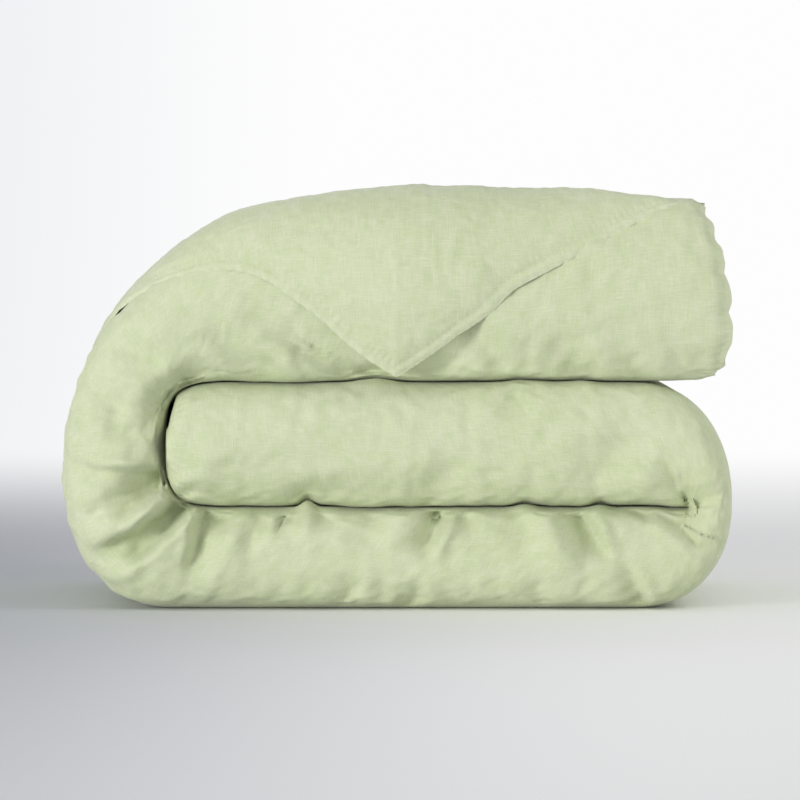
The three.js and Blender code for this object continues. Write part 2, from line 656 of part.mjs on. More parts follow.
// Ties at the insert's corners, and the label in the side hem
const tieOuterY = OUTER_HEM_Y - TIE_CORNER_INSET;
const tieInnerY = INNER_HEM_Y + TIE_CORNER_INSET;
const tieSeats = [
  ['corner_tie_outer_end', foldPoint(TIE_OUTER_END_STATION, tieInnerY, STACK / 2)],
  ['corner_tie_inner_end_outer', foldPoint(TIE_INNER_END_STATION, tieOuterY, TIE_OUTER_LEVEL)],
  ['corner_tie_inner_end_inner', foldPoint(TIE_INNER_FOLD_STATION, tieInnerY, STACK / 2)],
];
for (const [name, seat] of tieSeats) {
  const geometry = new THREE.BoxGeometry(TIE_LENGTH, TIE_WIDTH, TIE_THICKNESS);
  geometry.translate(seat.x, seat.y, seat.z);
  addMesh(name, solidOf(geometry), TAPE);
}
const label = new THREE.BoxGeometry(LABEL_WIDTH, LABEL_THICKNESS, LABEL_HEIGHT);
label.translate(RIGHT_X - LABEL_WIDTH / 2, BACK_Y - LABEL_THICKNESS / 2, LABEL_LOW_Z + LABEL_HEIGHT / 2);
addMesh('care_label', solidOf(label), TAPE);

export default duvet;
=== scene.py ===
"""Looks of a folded linen duvet: cover, insert, turned-down corner, trims and a plain studio.

The duvet is modelled flat, as a strip folded in three across its width, and folded round the pile by the
same mapping that the frame's solids follow. Places are in metres and come from the frame.
"""

import json
import logging
import math
from dataclasses import dataclass, field
from enum import Enum
from typing import Sequence

import bmesh
import bpy
import numpy as np
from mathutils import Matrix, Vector, noise

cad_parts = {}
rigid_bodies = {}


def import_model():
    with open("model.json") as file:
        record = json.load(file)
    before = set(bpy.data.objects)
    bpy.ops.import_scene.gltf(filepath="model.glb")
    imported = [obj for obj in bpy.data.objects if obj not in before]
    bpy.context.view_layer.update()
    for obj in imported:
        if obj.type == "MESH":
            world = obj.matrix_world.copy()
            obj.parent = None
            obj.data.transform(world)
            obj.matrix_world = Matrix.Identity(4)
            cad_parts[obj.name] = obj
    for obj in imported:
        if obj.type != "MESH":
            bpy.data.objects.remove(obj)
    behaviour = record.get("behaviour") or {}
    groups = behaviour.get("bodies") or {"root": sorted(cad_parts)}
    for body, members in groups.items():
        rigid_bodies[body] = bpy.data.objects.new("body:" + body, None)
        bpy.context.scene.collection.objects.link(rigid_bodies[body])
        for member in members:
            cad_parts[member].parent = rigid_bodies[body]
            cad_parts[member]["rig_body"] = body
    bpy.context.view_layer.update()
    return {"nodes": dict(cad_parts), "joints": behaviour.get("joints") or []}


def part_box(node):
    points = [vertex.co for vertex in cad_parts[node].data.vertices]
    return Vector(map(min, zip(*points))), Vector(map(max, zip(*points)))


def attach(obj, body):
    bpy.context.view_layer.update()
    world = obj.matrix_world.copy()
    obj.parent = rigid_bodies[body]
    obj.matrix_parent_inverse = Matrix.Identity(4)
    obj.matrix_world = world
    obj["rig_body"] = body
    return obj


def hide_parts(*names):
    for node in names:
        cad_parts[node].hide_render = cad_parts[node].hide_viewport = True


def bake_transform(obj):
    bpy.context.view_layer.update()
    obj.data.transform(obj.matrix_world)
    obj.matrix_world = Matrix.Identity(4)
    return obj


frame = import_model()
log = logging.getLogger("duvet")
MM = 0.001
NEARLY = 1e-6
FREE_STATIONS = 3.0
LIT_POINT = Vector((0.0, 0.0, 0.2))
Array = np.ndarray
Source = bpy.types.NodeSocket | float | tuple


class Finish(Enum):
    """The record's material slots."""

    LINEN = "linen"
    LINING = "lining"
    FILLING = "filling"
    BUTTON = "button_shell"
    TAPE = "tape"


class Zone(Enum):
    """The bodies that a piece of the strip rides on, in order along the strip."""

    ROOT = "root"
    LOWER = "bend_lower"
    MIDDLE = "bend_middle"
    UPPER = "bend_upper"
    TOP = "top_layer"
    TIP = "flap_tip"


def smooth(x: Array) -> Array:
    """Smoothstep of x between 0 and 1."""
    t = np.clip(x, 0.0, 1.0)
    return t * t * (3.0 - 2.0 * t)


def mix(a: Array, b: Array, t: Array) -> Array:
    """Linear mix of a and b."""
    return a + (b - a) * t


def power_of(x: Array, power: float) -> Array:
    """x raised to a power, keeping its sign."""
    return np.sign(x) * np.abs(x) ** power


def oval(angle: Array, run: Array, rise: Array, power: float) -> tuple[Array, Array]:
    """A point of a superellipse.

    Args:
        angle: angle from the run side, in radians.
        run: half size along the first axis.
        rise: half size along the second axis.
        power: 2 for an ellipse, more for a squarer outline.

    Returns:
        The two coordinates.
    """
    share = 2.0 / power
    return run * power_of(np.cos(angle), share), rise * power_of(np.sin(angle), share)


def soft_noise(points: Array, scale: Sequence[float], seed: float) -> Array:
    """Smooth noise about 0 at each point, with a wavelength for each axis.

    Args:
        points: places, n by 3.
        scale: wavelength along x, y and z, in metres.
        seed: a shift that gives each use its own pattern.

    Returns:
        One value a point, about -1 to 1.
    """
    scaled = points / np.asarray(scale) + seed
    return np.array([noise.noise(Vector(p)) for p in scaled])


def distance_to_line(points: Array, line: Array) -> tuple[Array, Array]:
    """Distance from points to a polyline, and how far along it the nearest place is.

    Args:
        points: n by 2.
        line: the polyline's corners, m by 2.

    Returns:
        Distances, and shares of the polyline's length from 0 to 1.
    """
    best = np.full(len(points), 1e9)
    along = np.zeros(len(points))
    lengths = np.linalg.norm(np.diff(line, axis=0), axis=1)
    total = max(lengths.sum(), 1e-9)
    gone = 0.0
    for start, end, length in zip(line[:-1], line[1:], lengths):
        way = (end - start) / max(length, 1e-9)
        t = np.clip((points - start) @ way, 0.0, length)
        gap = np.linalg.norm(points - start - t[:, None] * way, axis=1)
        nearer = gap < best
        best = np.where(nearer, gap, best)
        along = np.where(nearer, (gone + t) / total, along)
        gone += length
    return best, along


def bump(x: Array, centre: float, width: float) -> Array:
    """A bell of height 1 about a centre."""
    return np.exp(-(((x - centre) / width) ** 2))


def round_up(x: Array, power: float = 2.0) -> Array:
    """A quarter of a superellipse from 0 to 1, for padding that swells up from a seam."""
    t = 1.0 - np.clip(x, 0.0, 1.0)
    return np.maximum(1.0 - t**power, 0.0) ** (1.0 / power)


@dataclass(frozen=True)
class Ripple:
    """Smooth unevenness of one size.

    Args:
        height: its height in metres.
        scale: its wavelengths along x, y and z, in metres.
        seed: a shift that gives it its own pattern.
    """

    height: float
    scale: tuple[float, float, float]
    seed: float

    def at(self, places: Array) -> Array:
        """Its height at each place."""
        return self.height * soft_noise(places, self.scale, self.seed)


@dataclass(frozen=True)
class SewnEdge:
    """The puckers and the stitch line beside a sewn seam.

    Args:
        pitch: distance from pucker to pucker.
        wander: how unevenly they follow each other, and over what length, and with what seed.
        pucker: distance of the puckers from the seam, and their reach.
        stitch: depth of the stitch line, its distance from the seam, and its width.
    """

    pitch: float
    wander: tuple[float, float, float]
    pucker: tuple[float, float]
    stitch: tuple[float, float, float]

    def phase(self, places: Array, along: Array) -> Array:
        """The puckers' phase at each place, in radians."""
        amount, scale, seed = self.wander
        return 2.0 * math.pi * (along / self.pitch + amount * soft_noise(places, (scale,) * 3, seed))

    def near(self, gap: Array) -> Array:
        """1 amid the puckers, less away from them."""
        return bump(gap, *self.pucker)

    def line(self, gap: Array) -> Array:
        """How far the stitch line moves each place, in metres."""
        depth, centre, width = self.stitch
        return -depth * bump(gap, centre, width)


@dataclass(frozen=True)
class PileSizes:
    """The pile's places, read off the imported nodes' boxes."""

    left: float
    fold_right: float
    front: float
    back: float
    bottom_top: float
    middle_low: float
    middle_top: float
    middle_end: float
    top_low: float
    top_top: float
    top_end: float
    height: float

    @staticmethod
    def from_frame() -> "PileSizes":
        """Reads the sizes.

        Returns:
            The sizes in metres.
        """
        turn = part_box("cover_face_bend_middle")
        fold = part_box("cover_face_right_fold")
        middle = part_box("cover_face_middle")
        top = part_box("cover_face_top")
        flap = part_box("flap_face_top_layer")
        gap = 2.0 * (top[0][2] - middle[1][2])
        return PileSizes(
            left=turn[0][0],
            fold_right=fold[1][0] + gap,
            front=middle[0][1],
            back=middle[1][1],
            bottom_top=middle[0][2] - gap,
            middle_low=middle[0][2],
            middle_top=middle[1][2],
            middle_end=middle[0][0],
            top_low=middle[1][2] + gap,
            top_top=top[1][2],
            top_end=top[1][0],
            height=flap[1][2],
        )


@dataclass(frozen=True)
class StripRoute:
    """The strip's way round the pile: station 0 to 1 is the top layer from its free end, 1 to 2 the left
    bend, 2 to 3 the bottom layer, 3 to 4 the right fold, and 4 to 5 the middle layer."""

    sizes: PileSizes
    upper_run: float = 0.229
    lower_run: float = 0.119
    lower_power: float = 2.4
    widest_z: float = 0.150
    core_round: float = 0.066
    core_gap: float = 0.003
    core_power: float = 3.2
    fold_run: float = 0.101
    fold_widest_z: float = 0.110
    fold_inner: float = 0.046
    fold_power: float = 2.2
    puff: float = 0.036
    puff_from: float = 0.060
    puff_over: float = 0.240

    @property
    def core(self) -> Array:
        """The middle of the bend, as (x, z)."""
        s = self.sizes
        return np.array([s.middle_end + self.core_round, (s.bottom_top + s.top_low) / 2.0])

    def top_outer_z(self, x: Array) -> Array:
        """Height of the top layer's outer side, which is fuller under the ridge of the turned corner."""
        return self.sizes.top_top + self.puff * smooth((x - self.puff_from) / self.puff_over)

    def sides(self, station: Array) -> tuple[Array, Array]:
        """The outer and inner sides of the strip.

        Args:
            station: stations, n.

        Returns:
            Two arrays of (x, z), n by 2.
        """
        s = self.sizes
        core = self.core
        leg = np.clip(np.floor(station), 0, 4).astype(int)
        u = station - leg
        outer = np.zeros((len(station), 2))
        inner = np.zeros((len(station), 2))
        bend_x = s.left + self.upper_run
        low_x = s.left + self.lower_run
        fold_x = s.fold_right - self.fold_run
        tuck_x = s.fold_right - self.fold_inner

        m = leg == 0
        x = mix(s.top_end, bend_x, u[m])
        outer[m] = np.stack([x, self.top_outer_z(x)], 1)
        inner[m] = np.stack([mix(s.top_end, core[0], u[m]), np.full(m.sum(), s.top_low)], 1)

        m = (leg == 1) & (u < 0.5)
        a = math.pi * (0.5 + u[m])
        dx, dz = oval(a, self.upper_run, s.top_top - self.widest_z, 2.0)
        outer[m] = np.stack([bend_x + dx, self.widest_z + dz], 1)
        m = (leg == 1) & (u >= 0.5)
        a = math.pi * (0.5 + u[m])
        dx, dz = oval(a, self.lower_run, self.widest_z, self.lower_power)
        outer[m] = np.stack([low_x + dx, self.widest_z + dz], 1)
        m = leg == 1
        a = math.pi * (0.5 + u[m])
        half = (s.top_low - s.bottom_top) / 2.0
        dx, dz = oval(a, self.core_round + self.core_gap, half, self.core_power)
        inner[m] = np.stack([core[0] + dx, core[1] + dz], 1)

        m = leg == 2
        outer[m] = np.stack([mix(low_x, fold_x, u[m]), np.zeros(m.sum())], 1)
        inner[m] = np.stack([mix(core[0], tuck_x, u[m]), np.full(m.sum(), s.bottom_top)], 1)

        m = leg == 3
        a = math.pi * (u[m] - 0.5)
        rise = np.where(u[m] < 0.5, self.fold_widest_z, s.middle_top - self.fold_widest_z)
        dx, dz = oval(a, self.fold_run, rise, self.fold_power)
        outer[m] = np.stack([fold_x + dx, self.fold_widest_z + dz], 1)
        tight = (s.middle_low - s.bottom_top) / 2.0
        dx, dz = oval(a, tight, tight, 2.0)
        inner[m] = np.stack([tuck_x + dx, s.bottom_top + tight + dz], 1)

        m = leg == 4
        outer[m] = np.stack([mix(fold_x, s.middle_end, u[m]), np.full(m.sum(), s.middle_top)], 1)
        inner[m] = np.stack([mix(tuck_x, s.middle_end, u[m]), np.full(m.sum(), s.middle_low)], 1)
        return outer, inner

    def rows(self, spacing: float) -> Array:
        """Stations spaced evenly along the strip, by the length of its middle and outer sides.

        Args:
            spacing: distance between stations in metres.

        Returns:
            The stations from 0 to 5.
        """
        fine = np.linspace(0.0, 5.0, 2001)
        outer, inner = self.sides(fine)
        line = mix(outer, inner, 0.25)
        steps = np.linalg.norm(np.diff(line, axis=0), axis=1)
        length = np.concatenate([[0.0], np.cumsum(steps)])
        count = int(round(length[-1] / spacing)) + 1
        return np.interp(np.linspace(0.0, length[-1], count), length, fine)


@dataclass(frozen=True)
class OuterTable:
    """The strip's outer side as tables over the unrolled x, which runs on past the bend's start."""

    x: Array
    place: Array
    out: Array
    thick: Array
    station: Array

    @staticmethod
    def of(route: StripRoute) -> "OuterTable":
        """Measures the outer side of the top layer and the bend.

        Args:
            route: the strip's route.

        Returns:
            The tables, with x rising.
        """
        station = np.linspace(0.0, 1.999, 1200)
        outer, inner = route.sides(station)
        steps = np.linalg.norm(np.diff(outer, axis=0), axis=1)
        flat = outer[:, 0].copy()
        length = np.concatenate([[0.0], np.cumsum(steps)])
        start = np.searchsorted(station, 1.0)
        flat[start:] = flat[start] - (length[start:] - length[start])
        way = np.gradient(outer, axis=0)
        way /= np.linalg.norm(way, axis=1)[:, None]
        out = np.stack([way[:, 1], -way[:, 0]], 1)
        thick = np.linalg.norm(outer - inner, axis=1)
        thick[: start] = outer[: start, 1] - route.sizes.top_low
        order = np.argsort(flat)
        return OuterTable(flat[order], outer[order], out[order], thick[order], station[order])

    def at(self, x: Array) -> tuple[Array, Array, Array]:
        """Place, outward direction and layer thickness at unrolled x.

        Args:
            x: unrolled x, n.

        Returns:
            Place and direction, n by 2, and thickness, n.
        """
        place = np.stack([np.interp(x, self.x, self.place[:, k]) for k in (0, 1)], 1)
        beyond = np.maximum(x - self.x[-1], 0.0)
        place[:, 0] += beyond
        out = np.stack([np.interp(x, self.x, self.out[:, k]) for k in (0, 1)], 1)
        return place, out, np.interp(x, self.x, self.thick)


@dataclass(frozen=True)
class Section:
    """The strip's cross section: the duvet folded in three across its width, as one line from hem to hem.

    Lengths are in metres. The five parts of the line are the outer ply, the front roll, the middle
    ply, the back roll and the inner ply.

    Args:
        sizes: the pile's places.
        front_run: how far the front roll reaches forward where the strip is thin.
        front_half: how much further it reaches where the strip is full.
        back_run: the same for the back roll.
        back_half: the same for the back roll.
        roll_power: the front roll's squareness, 2 for an ellipse.
        hem_inset: the outer ply's hem in front of the back.
        inner_hem_inset: the inner ply's hem behind the front.
        cut_inset: how far the outer ply stops before the ridge.
        hem_taper: length over which a ply swells up from its hem.
        cut_taper: the same where the ply turns over at the ridge.
        seam_share: share of the fullness that is left at a seam.
        end_spread: how much the front roll spreads at the strip's ends.
        least_run: least depth of the outer ply behind the front roll.
        part_lengths: lengths of the five parts, for the spacing of vertices.
    """

    sizes: PileSizes
    front_run: float = 0.036
    front_half: float = 0.023
    back_run: float = 0.020
    back_half: float = 0.017
    roll_power: float = 2.35
    hem_inset: float = 0.013
    inner_hem_inset: float = 0.070
    cut_inset: float = 0.0
    hem_taper: float = 0.034
    cut_taper: float = 0.010
    seam_share: float = 0.03
    end_spread: float = 1.42
    least_run: float = 0.004
    part_lengths: tuple[float, ...] = (0.40, 0.20, 0.37, 0.08, 0.36)

    @property
    def front_y(self) -> float:
        """Where the front roll starts."""
        return self.sizes.front + self.front_run + self.front_half

    @property
    def back_y(self) -> float:
        """Where the back roll starts."""
        return self.sizes.back - self.back_run - self.back_half

    def columns(self, ply: float, front: float, under: float, back: float, inner: float) -> Array:
        """Places along the section: whole numbers are the ends of its five parts.

        Args:
            ply: spacing on the outer third.
            front: spacing on the front roll.
            under: spacing on the third beneath.
            back: spacing on the back roll.
            inner: spacing on the tucked-in third.

        Returns:
            Values from 0 to 5.
        """
        found = [0.0]
        for part, (length, spacing) in enumerate(zip(self.part_lengths, (ply, front, under, back, inner))):
            count = max(2, int(round(length / spacing)))
            found.extend(part + (i + 1) / count for i in range(count))
        return np.array(found)

    def at(self, column: Array, side: float, hem_y: Array, ends: Array, cut: Array) -> tuple[Array, Array]:
        """Depth and level of the section.

        Args:
            column: place along the section.
            side: 1 on the face, -1 on the lining, and less for a thinner insert.
            hem_y: where the outer third's hem lies.
            ends: 1 along the strip and 0 at its ends' seams.
            cut: 1 where the outer third runs on into the turned corner, 0 where it ends in a hem.

        Returns:
            Depth y and level, from 0 on the outer side to 1 on the inner side.
        """
        s = self.sizes
        part = np.clip(np.floor(column), 0, 4).astype(int)
        t = column - part
        y = np.zeros(len(column))
        level = np.zeros(len(column))
        fat = mix(self.seam_share, 1.0, ends) * side
        spread = mix(self.end_spread, 1.0, ends)

        m = part == 0
        y[m] = mix(np.maximum(hem_y[m], self.front_y + self.least_run), self.front_y, t[m])
        gone = hem_y[m] - y[m]
        taper = mix(self.hem_taper, self.cut_taper, cut[m])
        k = mix(self.seam_share, 1.0, round_up(gone / taper))
        level[m] = 0.5 - spread[m] / 3.0 - fat[m] * k / 6.0

        m = part == 1
        a = math.pi * t[m]
        full = np.where(spread[m] > 1.0, np.maximum(fat[m], spread[m] - 1), fat[m])
        run = self.front_run + self.front_half * full
        away, up = oval(a - math.pi / 2.0, run, spread[m] / 3.0 + fat[m] / 6.0, self.roll_power)
        y[m] = self.front_y - away
        level[m] = 0.5 + up

        m = part == 2
        y[m] = mix(self.front_y, self.back_y, t[m])
        level[m] = 0.5 + spread[m] / 3.0 + fat[m] / 6.0

        m = part == 3
        a = math.pi * t[m]
        run = self.back_run + self.back_half * fat[m]
        away, up = oval(math.pi / 2.0 - a, run, 1.0 / 6.0 + fat[m] / 6.0, 2.0)
        y[m] = self.back_y + away
        level[m] = 0.5 + 1.0 / 6.0 + up + (spread[m] - 1.0) / 3.0 * (1.0 - t[m])

        m = part == 4
        hem = s.front + self.inner_hem_inset
        y[m] = mix(self.back_y, hem, t[m])
        k = mix(self.seam_share, 1.0, round_up((y[m] - hem) / self.hem_taper))
        level[m] = 0.5 - fat[m] * k / 6.0
        return y, level


@dataclass(frozen=True)
class Ridge:
    """The line on the top layer that the corner turns over at, in unrolled x and depth y.

    Args:
        right: its right end.
        left: its left end.
    """

    right: tuple[float, float] = (0.304, -0.166)
    left: tuple[float, float] = (-0.426, 0.172)

    def depth(self, x: Array) -> Array:
        """The depth of the line at unrolled x."""
        slope = (self.left[1] - self.right[1]) / (self.left[0] - self.right[0])
        return self.right[1] + (x - self.right[0]) * slope


@dataclass(frozen=True)
class Crease:
    """A crease pressed into the front, deepest at its first point.

    Args:
        points: corners as (x, z) in millimetres.
        depth: how deep, in millimetres.
        width: how wide, in millimetres.
        swell: the soft rise beside it, as a share of the depth.
        even: True for a crease that fades at both ends.
        lean: 1 or -1 where one side of the crease lies over the other.
        sharp: 1 for a sharp crease, 2 for a soft one.
    """

    points: tuple[tuple[float, float], ...]
    depth: float
    width: float
    swell: float = 0.35
    even: bool = False
    lean: float = 0.0
    sharp: float = 1.25

    def push(self, places: Array) -> Array:
        """How far each place goes in, in metres, for places (x, z) in metres."""
        line = np.array(self.points, float)
        flat = places / MM
        gap, along = distance_to_line(flat, line)
        fade = 1.0 - smooth((along - 0.40) / 0.60)
        if self.even:
            fade = smooth(along / 0.35) * (1.0 - smooth((along - 0.65) / 0.35))
        way = line[-1] - line[0]
        side = np.sign((flat[:, 0] - line[0][0]) * way[1] - (flat[:, 1] - line[0][1]) * way[0])
        wide = self.width * np.where(side * self.lean > 0.0, 1.5, np.where(side * self.lean < 0.0, 0.55, 1.0))
        inward = np.exp(-((gap / wide) ** self.sharp))
        beside = bump(gap, 2.0 * wide, wide)
        return self.depth * MM * fade * (inward - self.swell * beside)


BEND_CREASES = (
    Crease(((-240, 143), (-270, 142), (-299, 141), (-346, 149)), 15, 11, 0.45, lean=-1),
    Crease(((-238, 136), (-262, 120), (-293, 94), (-303, 84)), 24, 12, 0.45, lean=1),
    Crease(((-222, 108), (-240, 92), (-257, 75), (-299, 38), (-306, 30)), 20, 12, 0.4, lean=1),
    Crease(((-252, 90), (-276, 76), (-306, 64), (-336, 58)), 12, 9, 0.3, lean=-1),
    Crease(((-214, 232), (-222, 222), (-240, 212), (-272, 190)), 14, 16, 0.3, sharp=1.7),
    Crease(((-236, 172), (-270, 178), (-314, 202)), 9, 16, sharp=1.8),
    Crease(((-244, 130), (-280, 122), (-328, 110)), 9, 10),
    Crease(((-262, 104), (-290, 108), (-334, 96)), 8, 9, 0.3, True),
    Crease(((-236, 108), (-262, 60), (-270, 22)), 10, 10),
    Crease(((-300, 286), (-268, 262), (-236, 246)), 6, 17, 0.3, True, sharp=1.8),
    Crease(((-326, 236), (-296, 214), (-276, 196)), 6, 16, 0.3, True, sharp=1.8),
)
BOTTOM_CREASES = (
    Crease(((-198, 108), (-204, 90), (-211, 60), (-222, 20)), 17, 11, 0.4, lean=-1),
    Crease(((-174, 108), (-180, 95), (-192, 78)), 14, 9),
    Crease(((-146, 108), (-150, 84), (-160, 40)), 7, 12),
    Crease(((-108, 110), (-122, 94), (-128, 68)), 15, 8, lean=-1),
    Crease(((-96, 114), (-84, 98), (-56, 84)), 11, 9),
    Crease(((42, 110), (42, 96), (29, 70), (24, 46)), 24, 12, 0.45, lean=1),
    Crease(((44, 108), (62, 95), (92, 88)), 12, 10),
    Crease(((182, 110), (192, 88), (210, 60), (223, 40)), 24, 12, 0.45, lean=1),
    Crease(((255, 4), (239, 37), (222, 68)), 11, 10, lean=-1),
    Crease(((232, 110), (252, 97), (266, 78)), 11, 10),
    Crease(((242, 109), (269, 100), (289, 87), (307, 72), (326, 65), (346, 67)), 14, 12, 0.45, lean=-1),
    Crease(((290, 116), (308, 112), (330, 122), (348, 140)), 8, 12, 0.4),
    Crease(((300, 104), (318, 100), (340, 96)), 5, 11),
    Crease(((120, 110), (128, 80), (118, 44)), 8, 15, sharp=1.7),
    Crease(((-20, 108), (-30, 80), (-24, 44)), 6, 15, sharp=1.7),
    Crease(((-60, 4), (-52, 24), (-62, 48)), 6, 10),
    Crease(((10, 2), (18, 18), (8, 34)), 7, 8),
    Crease(((150, 2), (142, 22), (156, 44)), 6, 11),
)
MIDDLE_CREASES = (
    Crease(((262, 200), (217, 155), (168, 116)), 7, 20, 0.3, True, sharp=1.8),
    Crease(((72, 158), (30, 118), (6, 106)), 7, 18, 0.3, True, sharp=1.8),
    Crease(((-140, 112), (-60, 124), (10, 118)), 5, 12, 0.3, True, sharp=1.8),
    Crease(((312, 116), (282, 142), (266, 176)), 8, 15, sharp=1.7),
    Crease(((-236, 112), (-214, 124), (-190, 116)), 9, 7),
    Crease(((-228, 140), (-222, 168), (-228, 200)), 5, 14, sharp=1.8),
    Crease(((130, 236), (118, 214), (124, 184)), 5, 14, sharp=1.8),
)
TOP_CREASES = (
    Crease(((-24, 240), (-55, 250), (-97, 267), (-139, 292), (-192, 322)), 14, 18, 0.45, lean=1),
    Crease(((-140, 254), (-180, 274), (-216, 292)), 9, 13),
    Crease(((10, 238), (-30, 243), (-96, 246)), 10, 9),
    Crease(((72, 290), (98, 262), (130, 241)), 11, 15, 0.35, sharp=1.6),
    Crease(((30, 244), (60, 262), (80, 296)), 12, 13),
    Crease(((190, 238), (176, 262), (148, 282)), 8, 16, sharp=1.7),
    Crease(((322, 246), (290, 268), (256, 300)), 8, 17, sharp=1.7),
    Crease(((250, 238), (238, 256), (240, 280)), 6, 13, sharp=1.7),
)


LOWER_BUMPS = ((-96, 9, 9), (130, 4, 15), (207, 5, 12), (-30, -2, 30))
UPPER_BUMPS = ((-25, 6, 24), (130, 4, 24), (188, 4, 20), (-120, -2, 40))
STRIP_BROAD = Ripple(0.0038, (0.130, 0.110, 0.085), 3.1)
STRIP_MIDDLING = Ripple(0.0018, (0.060, 0.060, 0.038), 8.7)
STRIP_FINE = Ripple(0.0010, (0.026, 0.026, 0.017), 21.3)
STRIP_TINY = Ripple(0.0004, (0.011, 0.011, 0.008), 33.9)
CORNER_BROAD = Ripple(0.0030, (0.12, 0.12, 0.09), 51.0)
CORNER_MIDDLING = Ripple(0.0014, (0.05, 0.05, 0.05), 57.0)
CORNER_FINE = Ripple(0.0009, (0.024, 0.024, 0.024), 41.0)
CORNER_TINY = Ripple(0.0004, (0.010, 0.010, 0.010), 47.0)
END_SEAM = SewnEdge(0.0075, (0.9, 0.05, 2.0), (0.012, 0.008), (0.0008, 0.008, 0.0016))
CORNER_HEM = SewnEdge(0.0072, (0.8, 0.045, 6.0), (0.0115, 0.0055), (0.0010, 0.0085, 0.0014))


@dataclass(frozen=True)
class ContactLine:
    """The uneven line along the front where one layer bears on the next.

    Args:
        height: its height in metres.
        bumps: rises as (x, rise, width) in millimetres.
        seed: a shift for its own unevenness.
        reach: how far up and down it moves the fabric.
        from_y: the depth in front of which it starts.
        over_y: the depth over which it grows to the whole.
    """

    height: float
    bumps: tuple[tuple[float, float, float], ...]
    seed: float
    reach: float = 0.017
    from_y: float = -0.150
    over_y: float = 0.030

    def shift(self, places: Array) -> Array:
        """How far each place moves up, in metres."""
        x = places[:, 0] / MM
        flat = np.stack([places[:, 0], np.zeros(len(x)), np.zeros(len(x))], 1)
        rise = Ripple(1.8, (0.055,) * 3, self.seed).at(flat)
        rise = rise + Ripple(0.9, (0.021,) * 3, self.seed + 4.0).at(flat)
        for centre, high, width in self.bumps:
            rise = rise + high * bump(x, centre, width)
        near = bump(places[:, 2], self.height, self.reach)
        front = smooth((self.from_y - places[:, 1]) / self.over_y)
        return rise * MM * near * front


@dataclass
class Sheet:
    """A sheet of fabric as arrays, made of a bmesh grid.

    Args:
        name: the sheet's name.
        obj: the Blender object that holds it while it is shaped.
    """

    name: str
    obj: bpy.types.Object

    @staticmethod
    def grid(name: str, rows: int, columns: int) -> "Sheet":
        """Makes a flat grid whose vertices are numbered row by row.

        Args:
            name: the sheet's name.
            rows: vertices along the first way.
            columns: vertices along the second way.

        Returns:
            The sheet, with its uv map still plain.
        """
        bm = bmesh.new()
        bm.loops.layers.uv.new("UVMap")
        bmesh.ops.create_grid(bm, x_segments=columns - 1, y_segments=rows - 1, size=0.5, calc_uvs=True)
        order = {}
        for v in bm.verts:
            j = int(round((v.co.x + 0.5) * (columns - 1)))
            i = int(round((v.co.y + 0.5) * (rows - 1)))
            order[v] = i * columns + j
        for v, k in order.items():
            v.index = k
        bm.verts.sort()
        mesh = bpy.data.meshes.new(name)
        bm.to_mesh(mesh)
        bm.free()
        obj = bpy.data.objects.new(name, mesh)
        bpy.context.scene.collection.objects.link(obj)
        return Sheet(name, obj)

    @property
    def places(self) -> Array:
        """Vertex places, n by 3."""
        co = np.zeros(len(self.obj.data.vertices) * 3)
        self.obj.data.vertices.foreach_get("co", co)
        return co.reshape(-1, 3)

    @places.setter
    def places(self, value: Array) -> None:
        self.obj.data.vertices.foreach_set("co", np.ascontiguousarray(value, np.float32).ravel())
        self.obj.data.update()

    @property
    def normals(self) -> Array:
        """Vertex normals, n by 3."""
        found = np.zeros(len(self.obj.data.vertices) * 3, np.float32)
        self.obj.data.vertex_normals.foreach_get("vector", found)
        return found.reshape(-1, 3).astype(float)

    def keep(self, name: str, values: Array) -> None:
        """Stores a number for each vertex."""
        layer = self.obj.data.attributes.new(name, "FLOAT", "POINT")
        layer.data.foreach_set("value", values.astype(np.float32))

    def read(self, name: str) -> Array:
        """Reads a number for each vertex."""
        found = np.zeros(len(self.obj.data.vertices), np.float32)
        self.obj.data.attributes[name].data.foreach_get("value", found)
        return found.astype(float)

    def set_uv(self, uv: Array) -> None:
        """Sets the uv map from one pair in metres for each vertex."""
        corner = np.zeros(len(self.obj.data.loops), np.int32)
        self.obj.data.loops.foreach_get("vertex_index", corner)
        self.obj.data.uv_layers[0].data.foreach_set("uv", uv[corner].astype(np.float32).ravel())

    def refine(self, levels: int) -> None:
        """Smooths and divides the sheet for good."""
        modifier = self.obj.modifiers.new("Subdivision", "SUBSURF")
        modifier.levels = levels
        modifier.render_levels = levels
        self.apply()

    def apply(self) -> None:
        """Applies the sheet's modifiers."""
        graph = bpy.context.evaluated_depsgraph_get()
        shown = self.obj.evaluated_get(graph)
        mesh = bpy.data.meshes.new_from_object(shown, preserve_all_data_layers=True, depsgraph=graph)
        self.obj.modifiers.clear()
        old = self.obj.data
        self.obj.data = mesh
        bpy.data.meshes.remove(old)

    def flip_to(self, outward: Array) -> None:
        """Turns the sheet over if its normals go against the given directions."""
        if float((self.normals * outward).sum()) < 0.0:
            self.obj.data.flip_normals()
            self.obj.data.update()


